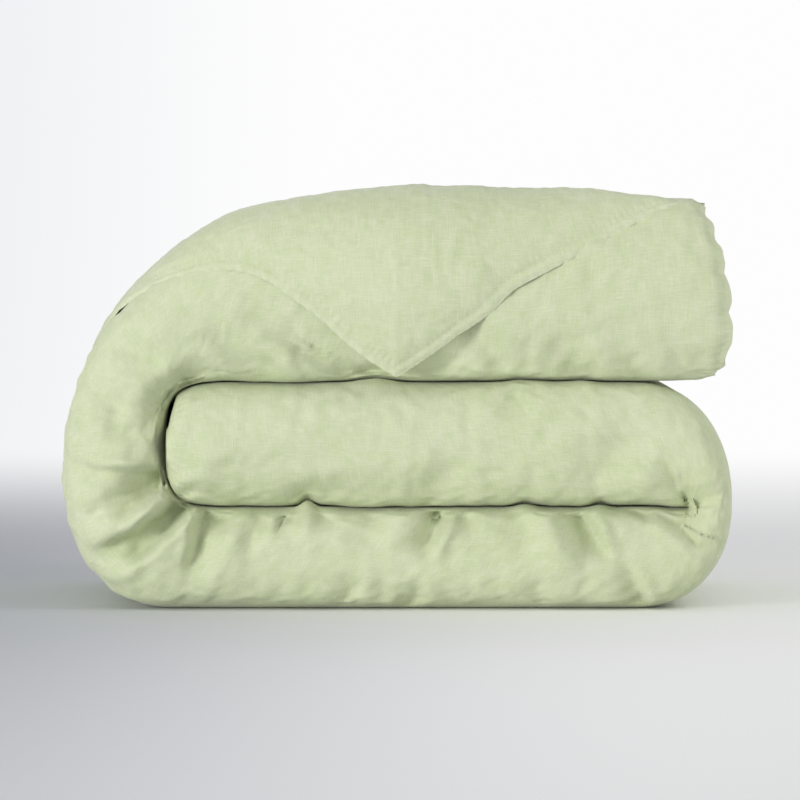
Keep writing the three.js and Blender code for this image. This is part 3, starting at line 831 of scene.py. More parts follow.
@dataclass(frozen=True)
class ClothSettle:
    """A short cloth simulation in which slack fabric buckles over its filling.

    Args:
        frames: how many frames it runs.
        slack: how much longer the fabric is than its filling.
        hold: how firmly the filling holds it.
        cap: how far a vertex may end from where it began, in metres.
        gravity: share of gravity.
        bending: stiffness against bending.
        stretching: stiffness against stretching and squeezing.
        shearing: stiffness against shearing.
        mass: mass of a vertex, in kilograms.
        quality: steps a frame.
    """

    frames: int = 18
    slack: float = 0.045
    hold: float = 0.45
    cap: float = 0.010
    gravity: float = 0.15
    bending: float = 0.6
    stretching: float = 20.0
    shearing: float = 8.0
    mass: float = 0.25
    quality: int = 4

    def run(self, sheet: Sheet, loose: Array) -> None:
        """Runs the simulation and keeps its result in the mesh.

        Args:
            sheet: the sheet to settle.
            loose: 0 where a vertex stays put, 1 where it moves freely.
        """
        obj = sheet.obj
        before = sheet.places
        group = obj.vertex_groups.new(name="held")
        for index, free in enumerate(loose):
            group.add([index], 1.0 - (1.0 - self.hold) * float(free), "REPLACE")
        modifier = obj.modifiers.new("Cloth", "CLOTH")
        cloth = modifier.settings
        cloth.quality = self.quality
        cloth.mass = self.mass
        cloth.tension_stiffness = cloth.compression_stiffness = self.stretching
        cloth.shear_stiffness = self.shearing
        cloth.bending_stiffness = self.bending
        cloth.vertex_group_mass = "held"
        cloth.pin_stiffness = 1.0
        cloth.shrink_min = -self.slack
        cloth.effector_weights.gravity = self.gravity
        modifier.collision_settings.use_collision = False
        modifier.collision_settings.use_self_collision = False
        modifier.point_cache.frame_start = 1
        modifier.point_cache.frame_end = self.frames
        scene = bpy.context.scene
        scene.frame_start, scene.frame_end = 1, self.frames
        for step in range(1, self.frames + 1):
            scene.frame_set(step)
        graph = bpy.context.evaluated_depsgraph_get()
        after = np.zeros(len(before) * 3, np.float32)
        obj.evaluated_get(graph).data.vertices.foreach_get("co", after)
        obj.modifiers.remove(modifier)
        obj.vertex_groups.remove(group)
        scene.frame_set(1)
        moved = after.reshape(-1, 3) - before
        size = np.linalg.norm(moved, axis=1)
        log.info("%s settled, mean %.1f mm, most %.1f mm", sheet.name, size.mean() / MM, size.max() / MM)
        share = np.minimum(1.0, self.cap / np.maximum(size, 1e-9))
        sheet.places = before + moved * (share * loose)[:, None]


@dataclass(frozen=True)
class HingePlane:
    """The plane across the strip at one hinge, from the bend's core out through the hinge.

    Args:
        before: the zone on the root's side.
        after: the zone on the top layer's side.
        core: the bend's core, as (x, z).
        pivot: the hinge, as (x, z).
        half: half the width of the fabric that bends.
    """

    before: Zone
    after: Zone
    core: Array
    pivot: Array
    half: float = 0.020

    @property
    def way(self) -> Array:
        """Direction across the plane, from before to after."""
        line = self.pivot - self.core
        line = line / np.linalg.norm(line)
        return np.array([line[1], -line[0]])

    def weight(self, places: Array) -> Array:
        """The plain share from before, 0, to after, 1, not yet smoothed."""
        flat = places[:, [0, 2]] - self.core
        return (flat @ self.way + self.half) / (2.0 * self.half)

    def ends(self) -> tuple[Vector, Vector]:
        """The start and end points of the bending."""
        a = self.core - self.way * self.half
        b = self.core + self.way * self.half
        return Vector((a[0], 0.0, a[1])), Vector((b[0], 0.0, b[1]))


@dataclass
class Splitter:
    """Cuts shaped fabric into pieces that each ride on one body or lie across one joint.

    Args:
        planes: the hinge planes, in order from the root.
        lift_start: where the tip's fabric starts to lift.
        lift_end: where it follows the tip wholly.
        lift_left: the lift reaches no further left than this x.
        lift_right: the lift reaches no further right than this x.
        lift_back: the lift reaches no further back than this y.
    """

    planes: tuple[HingePlane, ...]
    lift_start: Array
    lift_end: Array
    lift_left: float
    lift_right: float
    lift_back: float

    def chain_of(self, places: Array) -> Array:
        """How many hinges lie between the root and each vertex, with the share of one half passed."""
        core = self.planes[0].core
        flat = places[:, [0, 2]] - core
        angle = np.mod(np.arctan2(flat[:, 1], flat[:, 0]), 2.0 * math.pi)
        chain = np.zeros(len(places))
        for plane in self.planes:
            line = plane.pivot - core
            passed = angle < np.mod(math.atan2(line[1], line[0]), 2.0 * math.pi)
            near = flat @ line > 0.0
            chain += np.where(near, np.clip(plane.weight(places), 0.0, 1.0), passed.astype(float))
        return chain

    def lift_of(self, places: Array) -> Array:
        """The share of the corner's lift at each vertex."""
        way = self.lift_end - self.lift_start
        lift = np.clip((places - self.lift_start) @ way / (way @ way), 0.0, 1.0)
        x, y = places[:, 0], places[:, 1]
        hanging = (x > self.lift_left) & (x < self.lift_right) & (y < self.lift_back)
        return np.where(hanging, lift, 0.0)

    def cut(self, shaped: "Shaped", name: str, free: Array, hanging: bool) -> dict[str, bpy.types.Object]:
        """Makes the pieces.

        Args:
            shaped: the whole fabric.
            name: the start of each piece's name.
            free: True for vertices that unroll; the others stay with the root.
            hanging: True for the turned corner, whose tip lifts.

        Returns:
            The pieces by body name, or by "a-b" for one that lies between two.
        """
        chain = np.where(free, self.chain_of(shaped.places), 0.0)
        lift = self.lift_of(shaped.places) if hanging else np.zeros(len(chain))
        face_chain = chain[shaped.faces]
        low, high = face_chain.min(1), face_chain.max(1)
        whole = (np.abs(face_chain - np.round(face_chain)) < NEARLY).all(1) & (high - low < 0.5)
        face_lift = lift[shaped.faces]
        tip = (face_lift > 1.0 - NEARLY).all(1)
        lifting = ~tip & (face_lift > NEARLY).any(1)
        order = list(Zone)[:5]
        pieces = {}
        for k, zone in enumerate(order):
            chosen = whole & (np.round(low) == k) & ~tip & ~lifting
            if chosen.any():
                piece = shaped.piece(f"{name}_{zone.value}", chosen)
                pieces[zone.value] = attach(piece, zone.value)
        for k, plane in enumerate(self.planes):
            chosen = ~whole & (np.floor(low + NEARLY) == k) & ~tip & ~lifting
            if chosen.any():
                piece = shaped.piece(f"{name}_turn_{plane.before.value}", chosen)
                start, end = plane.ends()
                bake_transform(piece)
                pieces[f"{plane.before.value}-{plane.after.value}"] = piece
        if tip.any():
            pieces["flap_tip"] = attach(shaped.piece(f"{name}_tip", tip), "flap_tip")
            piece = shaped.piece(f"{name}_turn_tip", lifting)
            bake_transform(piece)
            pieces["top_layer-flap_tip"] = piece
        return pieces


@dataclass
class Shaped:
    """Finished fabric as arrays, ready to be cut into pieces."""

    places: Array
    normals: Array
    faces: Array
    uv: Array
    seam: Array
    station: Array

    @staticmethod
    def of(sheets: Sequence[Sheet]) -> "Shaped":
        """Joins shaped sheets, which are then removed.

        Args:
            sheets: sheets whose faces all have four corners.

        Returns:
            The joined fabric.
        """
        parts = []
        first = 0
        for sheet in sheets:
            mesh = sheet.obj.data
            corner = np.zeros(len(mesh.loops), np.int32)
            mesh.loops.foreach_get("vertex_index", corner)
            uv = np.zeros(len(mesh.loops) * 2, np.float32)
            mesh.uv_layers[0].data.foreach_get("uv", uv)
            faces = corner.reshape(-1, 4) + first
            stored = (sheet.read("seam"), sheet.read("station"))
            parts.append((sheet.places, sheet.normals, faces, uv.reshape(-1, 2), *stored))
            first += len(mesh.vertices)
            bpy.data.objects.remove(sheet.obj)
            bpy.data.meshes.remove(mesh)
        return Shaped(*(np.concatenate(column) for column in zip(*parts)))

    def piece(self, name: str, chosen: Array) -> bpy.types.Object:
        """Makes an object of some of the faces, with the whole fabric's normals.

        Args:
            name: the piece's name.
            chosen: True for the faces to take.

        Returns:
            The object.
        """
        faces = self.faces[chosen]
        used, corner = np.unique(faces, return_inverse=True)
        mesh = bpy.data.meshes.new(name)
        mesh.vertices.add(len(used))
        mesh.vertices.foreach_set("co", self.places[used].astype(np.float32).ravel())
        mesh.loops.add(faces.size)
        mesh.loops.foreach_set("vertex_index", corner.astype(np.int32).ravel())
        mesh.polygons.add(len(faces))
        mesh.polygons.foreach_set("loop_start", np.arange(0, faces.size, 4, dtype=np.int32))
        mesh.update(calc_edges=True)
        layer = mesh.uv_layers.new(name="UVMap")
        layer.data.foreach_set("uv", self.uv.reshape(-1, 4, 2)[chosen].astype(np.float32).ravel())
        seam = mesh.attributes.new("seam", "FLOAT", "POINT")
        seam.data.foreach_set("value", self.seam[used].astype(np.float32))
        mesh.polygons.foreach_set("use_smooth", np.ones(len(faces), bool))
        mesh.normals_split_custom_set_from_vertices(self.normals[used].tolist())
        obj = bpy.data.objects.new(name, mesh)
        bpy.context.scene.collection.objects.link(obj)
        return obj


@dataclass
class DuvetStrip:
    """The folded duvet itself: a cover's face and lining, or the insert inside it.

    Args:
        sizes: the pile's places.
        route: the strip's way round the pile.
        section: the strip's cross section.
        outer: the unrolled outer side.
        ridge: where the corner turns over.
        spacing: distance between rows of vertices.
        fat: 1 for the cover, less for the insert inside it.
        crumple: True for creases, waves and stitched seams.
        lining_back: how far the lining's front roll lies behind the face's.
        deepest: the deepest that creases together may press the front in.
        pucker: height of the puckers beside the end seams.
        scallop: height of the waves along the top layer's end.
        scallop_pitch: distance from one of those waves to the next.
        overhang: how far the top layer's end edge stands out.
        seam_sunk: how deep an end seam lies.
        floor_wave: how far waves lift the underside off the floor.
        end_reach: length over which the strip swells up from its top end.
        middle_reach: length over which it swells up from its end in the middle of the pile.
        middle_power: how squarely it does so, 2 for an ellipse.
        least_above: share of the fullness left at that end, above the section's middle.
        least_below: the same below it.
        pull_up: how far the top end leans back at its upper edge.
        pull_down: how far it leans back at its lower edge.
        pull_level: the level that leans back least, from 0 to 1.
        pull_reach: length over which the lean fades.
        settle: the cloth run.
    """

    sizes: PileSizes
    route: StripRoute
    section: Section
    outer: OuterTable
    ridge: Ridge
    spacing: float = 0.0075
    fat: float = 1.0
    crumple: bool = True
    lining_back: float = 0.014
    deepest: float = 0.028
    pucker: float = 0.0011
    scallop: float = 0.0022
    scallop_pitch: float = 0.024
    overhang: float = 0.003
    seam_sunk: float = 0.0012
    floor_wave: float = 0.0028
    end_reach: float = 0.050
    middle_reach: float = 0.066
    middle_power: float = 2.9
    least_above: float = 0.30
    least_below: float = 0.62
    pull_up: float = 0.031
    pull_down: float = 0.022
    pull_level: float = 0.32
    pull_reach: float = 0.060
    settle: ClothSettle = field(default_factory=ClothSettle)

    def place(self, station: Array, column: Array, side: float) -> tuple[Array, Array, Array]:
        """Carries places on the section along the strip.

        Args:
            station: place along the strip.
            column: place along the section.
            side: 1 for the face, -1 for the lining.

        Returns:
            Places n by 3, distance along the strip to its nearer end, and distance to the hems.
        """
        s = self.sizes
        outer, inner = self.route.sides(station)
        middle = mix(outer, inner, 0.5)
        from_top = np.where(station < 1.5, s.top_end - middle[:, 0], 1.0)
        from_middle = np.where(station > 4.0, middle[:, 0] - s.middle_end, 1.0)
        ends = np.minimum(round_up(from_top / self.end_reach), round_up(from_middle / (0.5 * self.end_reach)))
        flat_x = np.interp(station, self.outer.station[::-1], self.outer.x[::-1])
        hem = s.back - self.section.hem_inset
        ridge_y = self.ridge.depth(flat_x) - self.section.cut_inset
        turned = (station < 1.99) & (ridge_y < hem)
        hem_y = np.where(turned, ridge_y, hem)
        y, level = self.section.at(column, side * self.fat, hem_y, ends, turned.astype(float))
        upper = level < 0.5
        least = np.where(upper, self.least_above, self.least_below)
        share = mix(least, 1.0, round_up(from_middle / self.middle_reach, self.middle_power))
        level = 0.5 + (level - 0.5) * share
        up = 1.0 - level
        p = outer * up[:, None] + inner * level[:, None]
        above = np.clip((up - self.pull_level) / (1.0 - self.pull_level), 0, None)
        below = np.clip((self.pull_level - up) / self.pull_level, 0, None)
        pull = self.pull_up * above**2 + self.pull_down * below**4
        p[:, 0] -= np.where(station < 1.0, pull * np.exp(-np.maximum(from_top, 0.0) / self.pull_reach), 0.0)
        places = np.stack([p[:, 0], y, p[:, 1]], 1)
        part = np.floor(column)
        from_hem = np.where(part < 1, np.where(turned, 1.0, hem_y - y), 1.0)
        from_hem = np.where(part >= 4, y - (s.front + self.section.inner_hem_inset), from_hem)
        return places, np.minimum(np.maximum(from_top, 0), np.maximum(from_middle, 0)), from_hem

    def sheet(self, name: str, side: float, columns: Array, rows: Array) -> Sheet:
        """Makes one panel as a grid carried round the pile.

        Args:
            name: the sheet's name.
            side: 1 for the face, -1 for the lining.
            columns: places along the section.
            rows: stations along the strip.

        Returns:
            The sheet with its uv map in metres, and its stations and seam distances stored.
        """
        sheet = Sheet.grid(name, len(rows), len(columns))
        station = np.repeat(rows, len(columns))
        column = np.tile(columns, len(rows))
        places, end_gap, hem_gap = self.place(station, column, side)
        grid = places.reshape(len(rows), len(columns), 3)
        across = np.linalg.norm(np.diff(grid[len(rows) // 3], axis=0), axis=1)
        across = np.concatenate([[0.0], np.cumsum(across)])
        u = np.repeat(np.arange(len(rows)) * self.spacing, len(columns))
        sheet.set_uv(np.stack([u, np.tile(across, len(rows))], 1))
        sheet.places = places
        sheet.keep("station", station)
        sheet.keep("column", column)
        sheet.keep("seam", np.minimum(end_gap, np.maximum(hem_gap, 0.0)))
        sheet.keep("end_gap", end_gap)
        sheet.keep("along", np.tile(across, len(rows)))
        outward = np.zeros_like(places)
        outward[np.floor(column) == 1, 1] = -side
        sheet.flip_to(outward)
        return sheet

    @staticmethod
    def on_roll(column: Array) -> Array:
        """1 on the front roll, 0 on the rest of the section."""
        return smooth((column - 0.90) / 0.12) * smooth((2.02 - column) / 0.10)

    def waves(self, sheet: Sheet) -> None:
        """Soft uneven padding on the face, before the fabric settles."""
        places = sheet.places
        lift = (STRIP_BROAD.at(places) + STRIP_MIDDLING.at(places)) * self.looseness(sheet)
        sheet.places = places + sheet.normals * lift[:, None]

    def looseness(self, sheet: Sheet) -> Array:
        """1 on fabric that faces out, 0 where layers bear on each other, at seams and under the pile."""
        places = sheet.places
        normal = sheet.normals
        station = sheet.read("station")
        column = sheet.read("column")
        roll = self.on_roll(column)
        shown_top = smooth((2.15 - station) / 0.2) * smooth((1.05 - column) / 0.05)
        back = smooth((column - 3.0) / 0.1) * smooth((4.0 - column) / 0.1)
        face = np.clip(np.maximum(np.maximum(roll, shown_top), back), 0.0, 1.0)
        inward = np.clip(np.abs(normal[:, 1]) * 1.9, 0.0, 1.0)
        bears = np.where(station > 2.0, inward, np.maximum(inward, smooth((1.0 - column) * 20.0)))
        outside = np.where((station > 0.96) & (station < 2.05) & (column < 1.5), 1.0, bears)
        floor = smooth(places[:, 2] / 0.012)
        return face * outside * smooth(sheet.read("seam") / 0.010) * floor

    def press(self, sheet: Sheet) -> None:
        """Creases, puckered seams and fine ripples, after the fabric has settled and been refined."""
        places = sheet.places
        normal = sheet.normals
        station = sheet.read("station")
        front = smooth((-normal[:, 1] - 0.15) / 0.45)
        flat = places[:, [0, 2]]
        bend = (station > 0.9) & (station < 2.2)
        depth = np.zeros(len(places))
        for creases, gain, where in (
            (BEND_CREASES, 1.40, bend),
            (BOTTOM_CREASES, 1.15, (station > 1.8) & (station < 4.0)),
            (MIDDLE_CREASES, 1.40, station >= 3.5),
            (TOP_CREASES, 1.0, station < 1.25),
        ):
            chosen = where & (front > 0.0)
            wander = np.stack([Ripple(0.0022, (0.02,) * 3, 5.0 + k).at(places[chosen]) for k in range(2)], 1)
            moved = flat[chosen] + wander
            depth[chosen] += gain * sum(crease.push(moved) for crease in creases)
        shift = np.zeros_like(places)
        shift[:, 1] = np.minimum(depth, self.deepest) * front
        free = self.looseness(sheet)
        fine = STRIP_FINE.at(places)
        end_gap = sheet.read("end_gap")
        along = sheet.read("along")
        puckers = self.pucker * END_SEAM.near(end_gap) * np.sin(END_SEAM.phase(places, along))
        lift = (fine + STRIP_TINY.at(places)) * free + puckers + END_SEAM.line(end_gap)
        wave = np.sin(2.0 * math.pi * along / self.scallop_pitch + 2.0 * fine / STRIP_FINE.height)
        scallop = self.scallop * np.exp(-end_gap / 0.016) * wave
        shift[:, 0] += np.where(station < 0.5, scallop + self.overhang * np.exp(-end_gap / 0.010), 0.0)
        close = bump(end_gap, 0.0, 0.006)
        lift = lift * (1.0 - 0.8 * close) - self.seam_sunk * close
        layered = ((station < 1.3) | (station > 1.9)).astype(float)
        for height, bumps, seed in (
            (self.sizes.middle_low, LOWER_BUMPS, 3.0),
            (self.sizes.middle_top, UPPER_BUMPS, 9.0),
        ):
            shift[:, 2] += layered * ContactLine(height, bumps, seed).shift(places)
        under = smooth((0.02 - places[:, 2]) / 0.02) * front
        waving = np.clip(soft_noise(places, (0.034,) * 3, 12.0) + 0.2, 0.0, 1.0)
        shift[:, 2] += under * self.floor_wave * waving
        sheet.places = places + shift + normal * lift[:, None]

    def draw_back(self, sheet: Sheet) -> None:
        """Sets the lining's hidden front roll behind the deepest creases, away from its end seams."""
        places = sheet.places
        inner = smooth((sheet.read("end_gap") - 0.02) / 0.05)
        places[:, 1] += self.lining_back * self.on_roll(sheet.read("column")) * inner
        sheet.places = places

    def build(self) -> Shaped:
        """Makes the face and lining.

        Returns:
            The shaped fabric.
        """
        rows = self.route.rows(self.spacing)
        if not self.crumple:
            rows = np.clip(rows, 0.05, 4.95)
            rows = rows[np.concatenate([[True], np.diff(rows) > 0.0])]
            columns = self.section.columns(0.030, 0.016, 0.030, 0.016, 0.040)
            sides = (("insert_face", 1.0), ("insert_back", -1.0))
            return Shaped.of([self.sheet(name, side, columns, rows) for name, side in sides])
        columns = self.section.columns(0.012, 0.0065, 0.018, 0.008, 0.030)
        face = self.sheet("cover_face", 1.0, columns, rows)
        self.waves(face)
        self.settle.run(face, self.looseness(face))
        face.refine(1)
        self.press(face)
        columns = self.section.columns(0.020, 0.020, 0.030, 0.016, 0.040)
        lining = self.sheet("cover_lining", -1.0, columns, rows)
        self.draw_back(lining)
        return Shaped.of([face, lining])


@dataclass
class TurnedCorner:
    """The corner turned over onto the top layer, hanging down over the front.

    Args:
        sizes: the pile's places.
        outer: the unrolled outer side.
        section: the strip's cross section, for its front roll.
        ridge: the line the corner turns over at; not used.
        right_hem: corners of the right hem from the tip up, as (x, z) in millimetres.
        left_hem: corners of the left hem from the tip up to the bend, as (x, z) in millimetres.
        left_hem_flat: the rest of the left hem over the bend, as unrolled x and depth in millimetres.
        spacing: distance between vertices.
        fat: 1 for the cover, less for the insert inside it.
        crumple: True for waves, puckers and the stitched hem.
        hem_height: height of the hem above the top layer.
        lining_height: height of the corner's lining above the top layer.
        flange: width of the flat hem.
        inset: distance from the hems at which the fabric stops, or -1 for none.
        past_ridge: how far the hems are carried on past the ridge.
        swell: length over which the padding swells up from the hem.
        hang_height: height of the padding where the corner hangs.
        pucker: height of the puckers beside the hem.
        edge_wave: height of the waves along the hem's edge.
        bend_lining: lining_height where the corner lies over the left bend.
        hem_round: width of the hem's rounded edge.
        least_padding: least height of the padding over the hem.
        least_radius: least radius that the fabric turns under with at the ridge.
        sunk_share: share of the top layer's thickness that the turn sinks into.
        left_reach: length over which that share grows from the left end.
        tucked_under: length of fabric tucked in under the ridge.
        lower_past: how far the lining goes past the ridge.
        settle: the cloth run.
    """

    sizes: PileSizes
    outer: OuterTable
    section: Section
    ridge: Ridge
    right_hem: tuple = (
        (-3, 242), (15, 253), (48, 276), (88, 309), (103, 329), (119, 339), (166, 364), (209, 388),
        (247, 406), (272, 416), (291, 421), (300, 425),
    )
    left_hem: tuple = (
        (-3, 242), (-29, 257), (-55, 277), (-81, 302), (-108, 323), (-123, 333), (-147, 345),
    )
    left_hem_flat: tuple = (
        (-186, -225), (-213, -219), (-243, -209), (-290, -189), (-330, -160), (-372, -80), (-405, 30),
        (-426, 172),
    )
    spacing: float = 0.0048
    fat: float = 1.0
    crumple: bool = True
    hem_height: float = 0.0085
    lining_height: float = 0.0042
    flange: float = 0.009
    inset: float = -1.0
    past_ridge: float = 0.19
    swell: float = 0.026
    hang_height: float = 0.0270
    pucker: float = 0.0010
    edge_wave: float = 0.0007
    bend_lining: float = 0.0008
    hem_round: float = 0.0035
    least_padding: float = 0.006
    least_radius: float = 0.003
    sunk_share: float = 0.34
    left_reach: float = 0.05
    tucked_under: float = 0.045
    lower_past: float = 0.004
    settle: ClothSettle = field(default_factory=lambda: ClothSettle(slack=0.035, cap=0.006, gravity=0.1))

    @property
    def roll(self) -> tuple[float, float]:
        """Depth where the front roll starts, and how far forward it reaches."""
        return self.section.front_y, self.section.front_y - self.sizes.front

    def drape(self, flat: Array, height: Array) -> Array:
        """Carries places of the unrolled plan over the top and down the front.

        Args:
            flat: unrolled x and depth, n by 2; depths before the front roll hang down.
            height: height above the top layer's own face.

        Returns:
            Places, n by 3.
        """
        start, run = self.roll
        place, out, thick = self.outer.at(flat[:, 0])
        rise = thick / 2.0
        gone = np.maximum(start - flat[:, 1], 0.0)
        arc = self.arc(rise, run)
        angle = np.minimum(gone / arc, 1.0) * math.pi / 2.0
        down = np.maximum(gone - arc, 0.0)
        y = np.where(gone > 0.0, start - (run + height) * np.sin(angle), flat[:, 1])
        lift = np.where(gone > 0.0, (rise + height) * np.cos(angle) - rise - down, height)
        spot = place + out * lift[:, None]
        return np.stack([spot[:, 0], y, spot[:, 1]], 1)

    @staticmethod
    def arc(rise: Array, run: float) -> Array:
        """Length of a quarter ellipse."""
        return math.pi / 2.0 * np.sqrt((rise**2 + run**2) / 2.0)

    def flatten(self, line: Sequence[tuple[float, float]]) -> Array:
        """Carries places seen on the front back to the unrolled plan."""
        start, run = self.roll
        points = np.array(line, float) * MM
        place, _, thick = self.outer.at(points[:, 0])
        rise = thick / 2.0
        arc = self.arc(rise, run)
        below = place[:, 1] - rise
        share = np.clip((points[:, 1] - below) / (rise + self.hem_height), -1.0, 1.0)
        angle = np.arccos(np.clip(share, 0.0, 1.0))
        gone = np.where(share > 0.0, angle / (math.pi / 2.0) * arc, arc + below - points[:, 1])
        return np.stack([points[:, 0], start - gone], 1)

    @staticmethod
    def along(line: Array, spacing: float) -> Array:
        """Places spaced evenly along a polyline, its corners eased."""
        steps = np.linalg.norm(np.diff(line, axis=0), axis=1)
        length = np.concatenate([[0.0], np.cumsum(steps)])
        count = int(round(length[-1] / spacing)) + 1
        want = np.linspace(0.0, length[-1], count)
        found = np.stack([np.interp(want, length, line[:, k]) for k in (0, 1)], 1)
        for _ in range(6):
            found[1:-1] = (found[:-2] + 2.0 * found[1:-1] + found[2:]) / 4.0
        return found

    def top_height(self, x: Array) -> Array:
        """Full height of the turned corner above the top layer, at unrolled x."""
        place, _, _ = self.outer.at(x)
        left = mix(0.014, 0.050, smooth((x + 0.300) / 0.330))
        crest = self.sizes.height - 0.0015 - 0.009 * smooth((x - 0.19) / 0.12)
        return np.where(x > 0.030, crest - place[:, 1], left)

    def carried_on(self, line: Array) -> Array:
        """A hem carried on straight past its end on the ridge."""
        step = line[-1] - line[-4]
        step = step / np.linalg.norm(step) * self.spacing
        count = int(self.past_ridge / self.spacing)
        return np.concatenate([line, line[-1] + step * np.arange(1, count + 1)[:, None]])

    def plan(self) -> tuple[Array, Array, Array, Array]:
        """The unrolled plan of the corner.

        Returns:
            Plan places, the two hems carried on past the ridge, and the ridge's left and right ends.
        """
        right = self.along(self.flatten(self.right_hem), self.spacing)
        left_line = np.concatenate([self.flatten(self.left_hem), np.array(self.left_hem_flat, float) * MM])
        left = self.along(left_line, self.spacing)
        ends = np.stack([left[-1], right[-1]])
        right, left = self.carried_on(right), self.carried_on(left)
        flat = left[:, None, :] + right[None, :, :] - right[0]
        return flat.reshape(-1, 2), right, left, ends

    def sheet(self, name: str, upper: bool) -> Sheet:
        """Makes the upper or lower side of the corner.

        Args:
            name: the sheet's name.
            upper: True for the side that shows.

        Returns:
            The sheet.
        """
        flat, right, left, ends = self.plan()
        columns = len(right)
        sheet = Sheet.grid(name, len(left), columns)
        sheet.set_uv(flat)
        from_right, on_right = distance_to_line(flat, right)
        from_left, on_left = distance_to_line(flat, left)
        hem_gap = np.minimum(from_right, from_left)
        way = ends[1] - ends[0]
        out = np.array([-way[1], way[0]]) / np.linalg.norm(way)
        out = out if out[1] > 0.0 else -out
        beyond = (flat - ends[0]) @ out
        full = self.top_height(flat[:, 0])
        start, run = self.roll
        _, _, thick = self.outer.at(flat[:, 0])
        fall = smooth((start - flat[:, 1]) / self.arc(thick / 2.0, run))
        full = mix(full, self.hang_height, fall)
        beneath = mix(self.bend_lining, self.lining_height, smooth((flat[:, 0] + 0.28) / 0.12))
        edge = beneath + (self.hem_height - self.lining_height) * round_up(hem_gap / self.hem_round)
        padding = 1.0 - np.exp(-np.maximum(hem_gap - self.flange, 0.0) / self.swell)
        height = edge + np.maximum(full - self.hem_height, self.least_padding) * padding * self.fat
        sunk = self.sunk_share * thick * round_up(from_left / self.left_reach)
        radius = np.maximum((height + sunk) / 2.0, self.least_radius)
        turn = np.maximum(beyond + 0.5 * radius, 0.0)
        angle = np.minimum(turn / radius, math.pi)
        back = np.maximum(turn - math.pi * radius, 0.0)
        foot = flat - out * turn[:, None]
        if upper:
            spot = foot + out * (radius * np.sin(angle) - back)[:, None]
            raised = height - radius + radius * np.cos(angle)
        else:
            spot = foot
            raised = beneath
        spot[:, 0] = np.minimum(spot[:, 0], ends[1, 0])
        spot = np.where((turn > 0.0)[:, None], spot, flat)
        raised = np.where((turn > 0.0) & upper, raised, np.where(upper, height, beneath))
        sheet.places = self.drape(spot, raised)
        sheet.keep("seam", hem_gap)
        nearer = np.where(from_right < from_left, on_right * len(right), on_left * len(left) + 3.0)
        sheet.keep("along", nearer * self.spacing)
        sheet.keep("turn", turn)
        sheet.keep("station", np.zeros(len(turn)))
        limit = math.pi * radius + self.tucked_under if upper else np.full(len(flat), self.lower_past)
        limit = limit if self.crumple else np.zeros(len(flat))
        if upper and self.crumple:
            self.close_end(sheet, np.flatnonzero((turn[:columns] > 0.0) & (turn[:columns] < limit[:columns])))
        self.trim(sheet, np.maximum(turn - limit, self.inset - hem_gap))
        front = np.zeros_like(sheet.places)
        front[:, 1] = -1.0 if upper else 1.0
        hanging = sheet.places[:, 1] < self.sizes.front
        sheet.flip_to(front * hanging[:, None])
        return sheet

    @staticmethod
    def close_end(sheet: Sheet, chain: Array) -> None:
        """Closes the end of the turned-over roll with one face along a chain of vertices."""
        bm = bmesh.new()
        bm.from_mesh(sheet.obj.data)
        bm.verts.ensure_lookup_table()
        bm.faces.new([bm.verts[int(i)] for i in chain])
        bmesh.ops.recalc_face_normals(bm, faces=bm.faces[:])
        bm.to_mesh(sheet.obj.data)
        bm.free()
        sheet.obj.data.update()

    @staticmethod
    def trim(sheet: Sheet, past: Array) -> None:
        """Takes away the faces whose corners all lie past the limit."""
        bm = bmesh.new()
        bm.from_mesh(sheet.obj.data)
        gone = [f for f in bm.faces if all(past[v.index] > 0.0 for v in f.verts)]
        bmesh.ops.delete(bm, geom=gone, context="FACES")
        loose = [v for v in bm.verts if not v.link_faces]
        bmesh.ops.delete(bm, geom=loose, context="VERTS")
        bm.to_mesh(sheet.obj.data)
        bm.free()
        sheet.obj.data.update()

    def press(self, sheet: Sheet) -> None:
        """Puckered hems, their stitch line and ripples."""
        places = sheet.places
        normal = sheet.normals
        seam = sheet.read("seam")
        along = sheet.read("along")
        phase = CORNER_HEM.phase(places, along)
        uneven = 0.6 + Ripple(0.5, (0.03,) * 3, 15.0).at(places)
        pucker = self.pucker * uneven * CORNER_HEM.near(seam) * np.sin(phase)
        edge = self.edge_wave * np.exp(-seam / 0.004) * np.sin(phase * 0.5 + 1.0)
        ripple = CORNER_FINE.at(places) * smooth(seam / 0.02)
        lift = pucker + edge + CORNER_HEM.line(seam) + ripple + CORNER_TINY.at(places)
        sheet.places = places + normal * lift[:, None]

    def waves(self, sheet: Sheet) -> None:
        """Soft uneven padding."""
        places = sheet.places
        inner = smooth((sheet.read("seam") - 0.006) / 0.03)
        still = 1.0 - smooth(sheet.read("turn") / 0.02)
        lift = (CORNER_BROAD.at(places) + CORNER_MIDDLING.at(places)) * inner * still
        sheet.places = places + sheet.normals * lift[:, None]

    def build(self) -> Shaped:
        """Makes both sides of the corner.

        Returns:
            The shaped fabric.
        """
        upper = self.sheet("corner_upper", True)
        lower = self.sheet("corner_lower", False)
        if self.crumple:
            self.waves(upper)
            still = 1.0 - smooth(upper.read("turn") / 0.02)
            self.settle.run(upper, smooth((upper.read("seam") - 0.004) / 0.012) * still)
            upper.refine(1)
            self.press(upper)
        return Shaped.of([upper, lower])


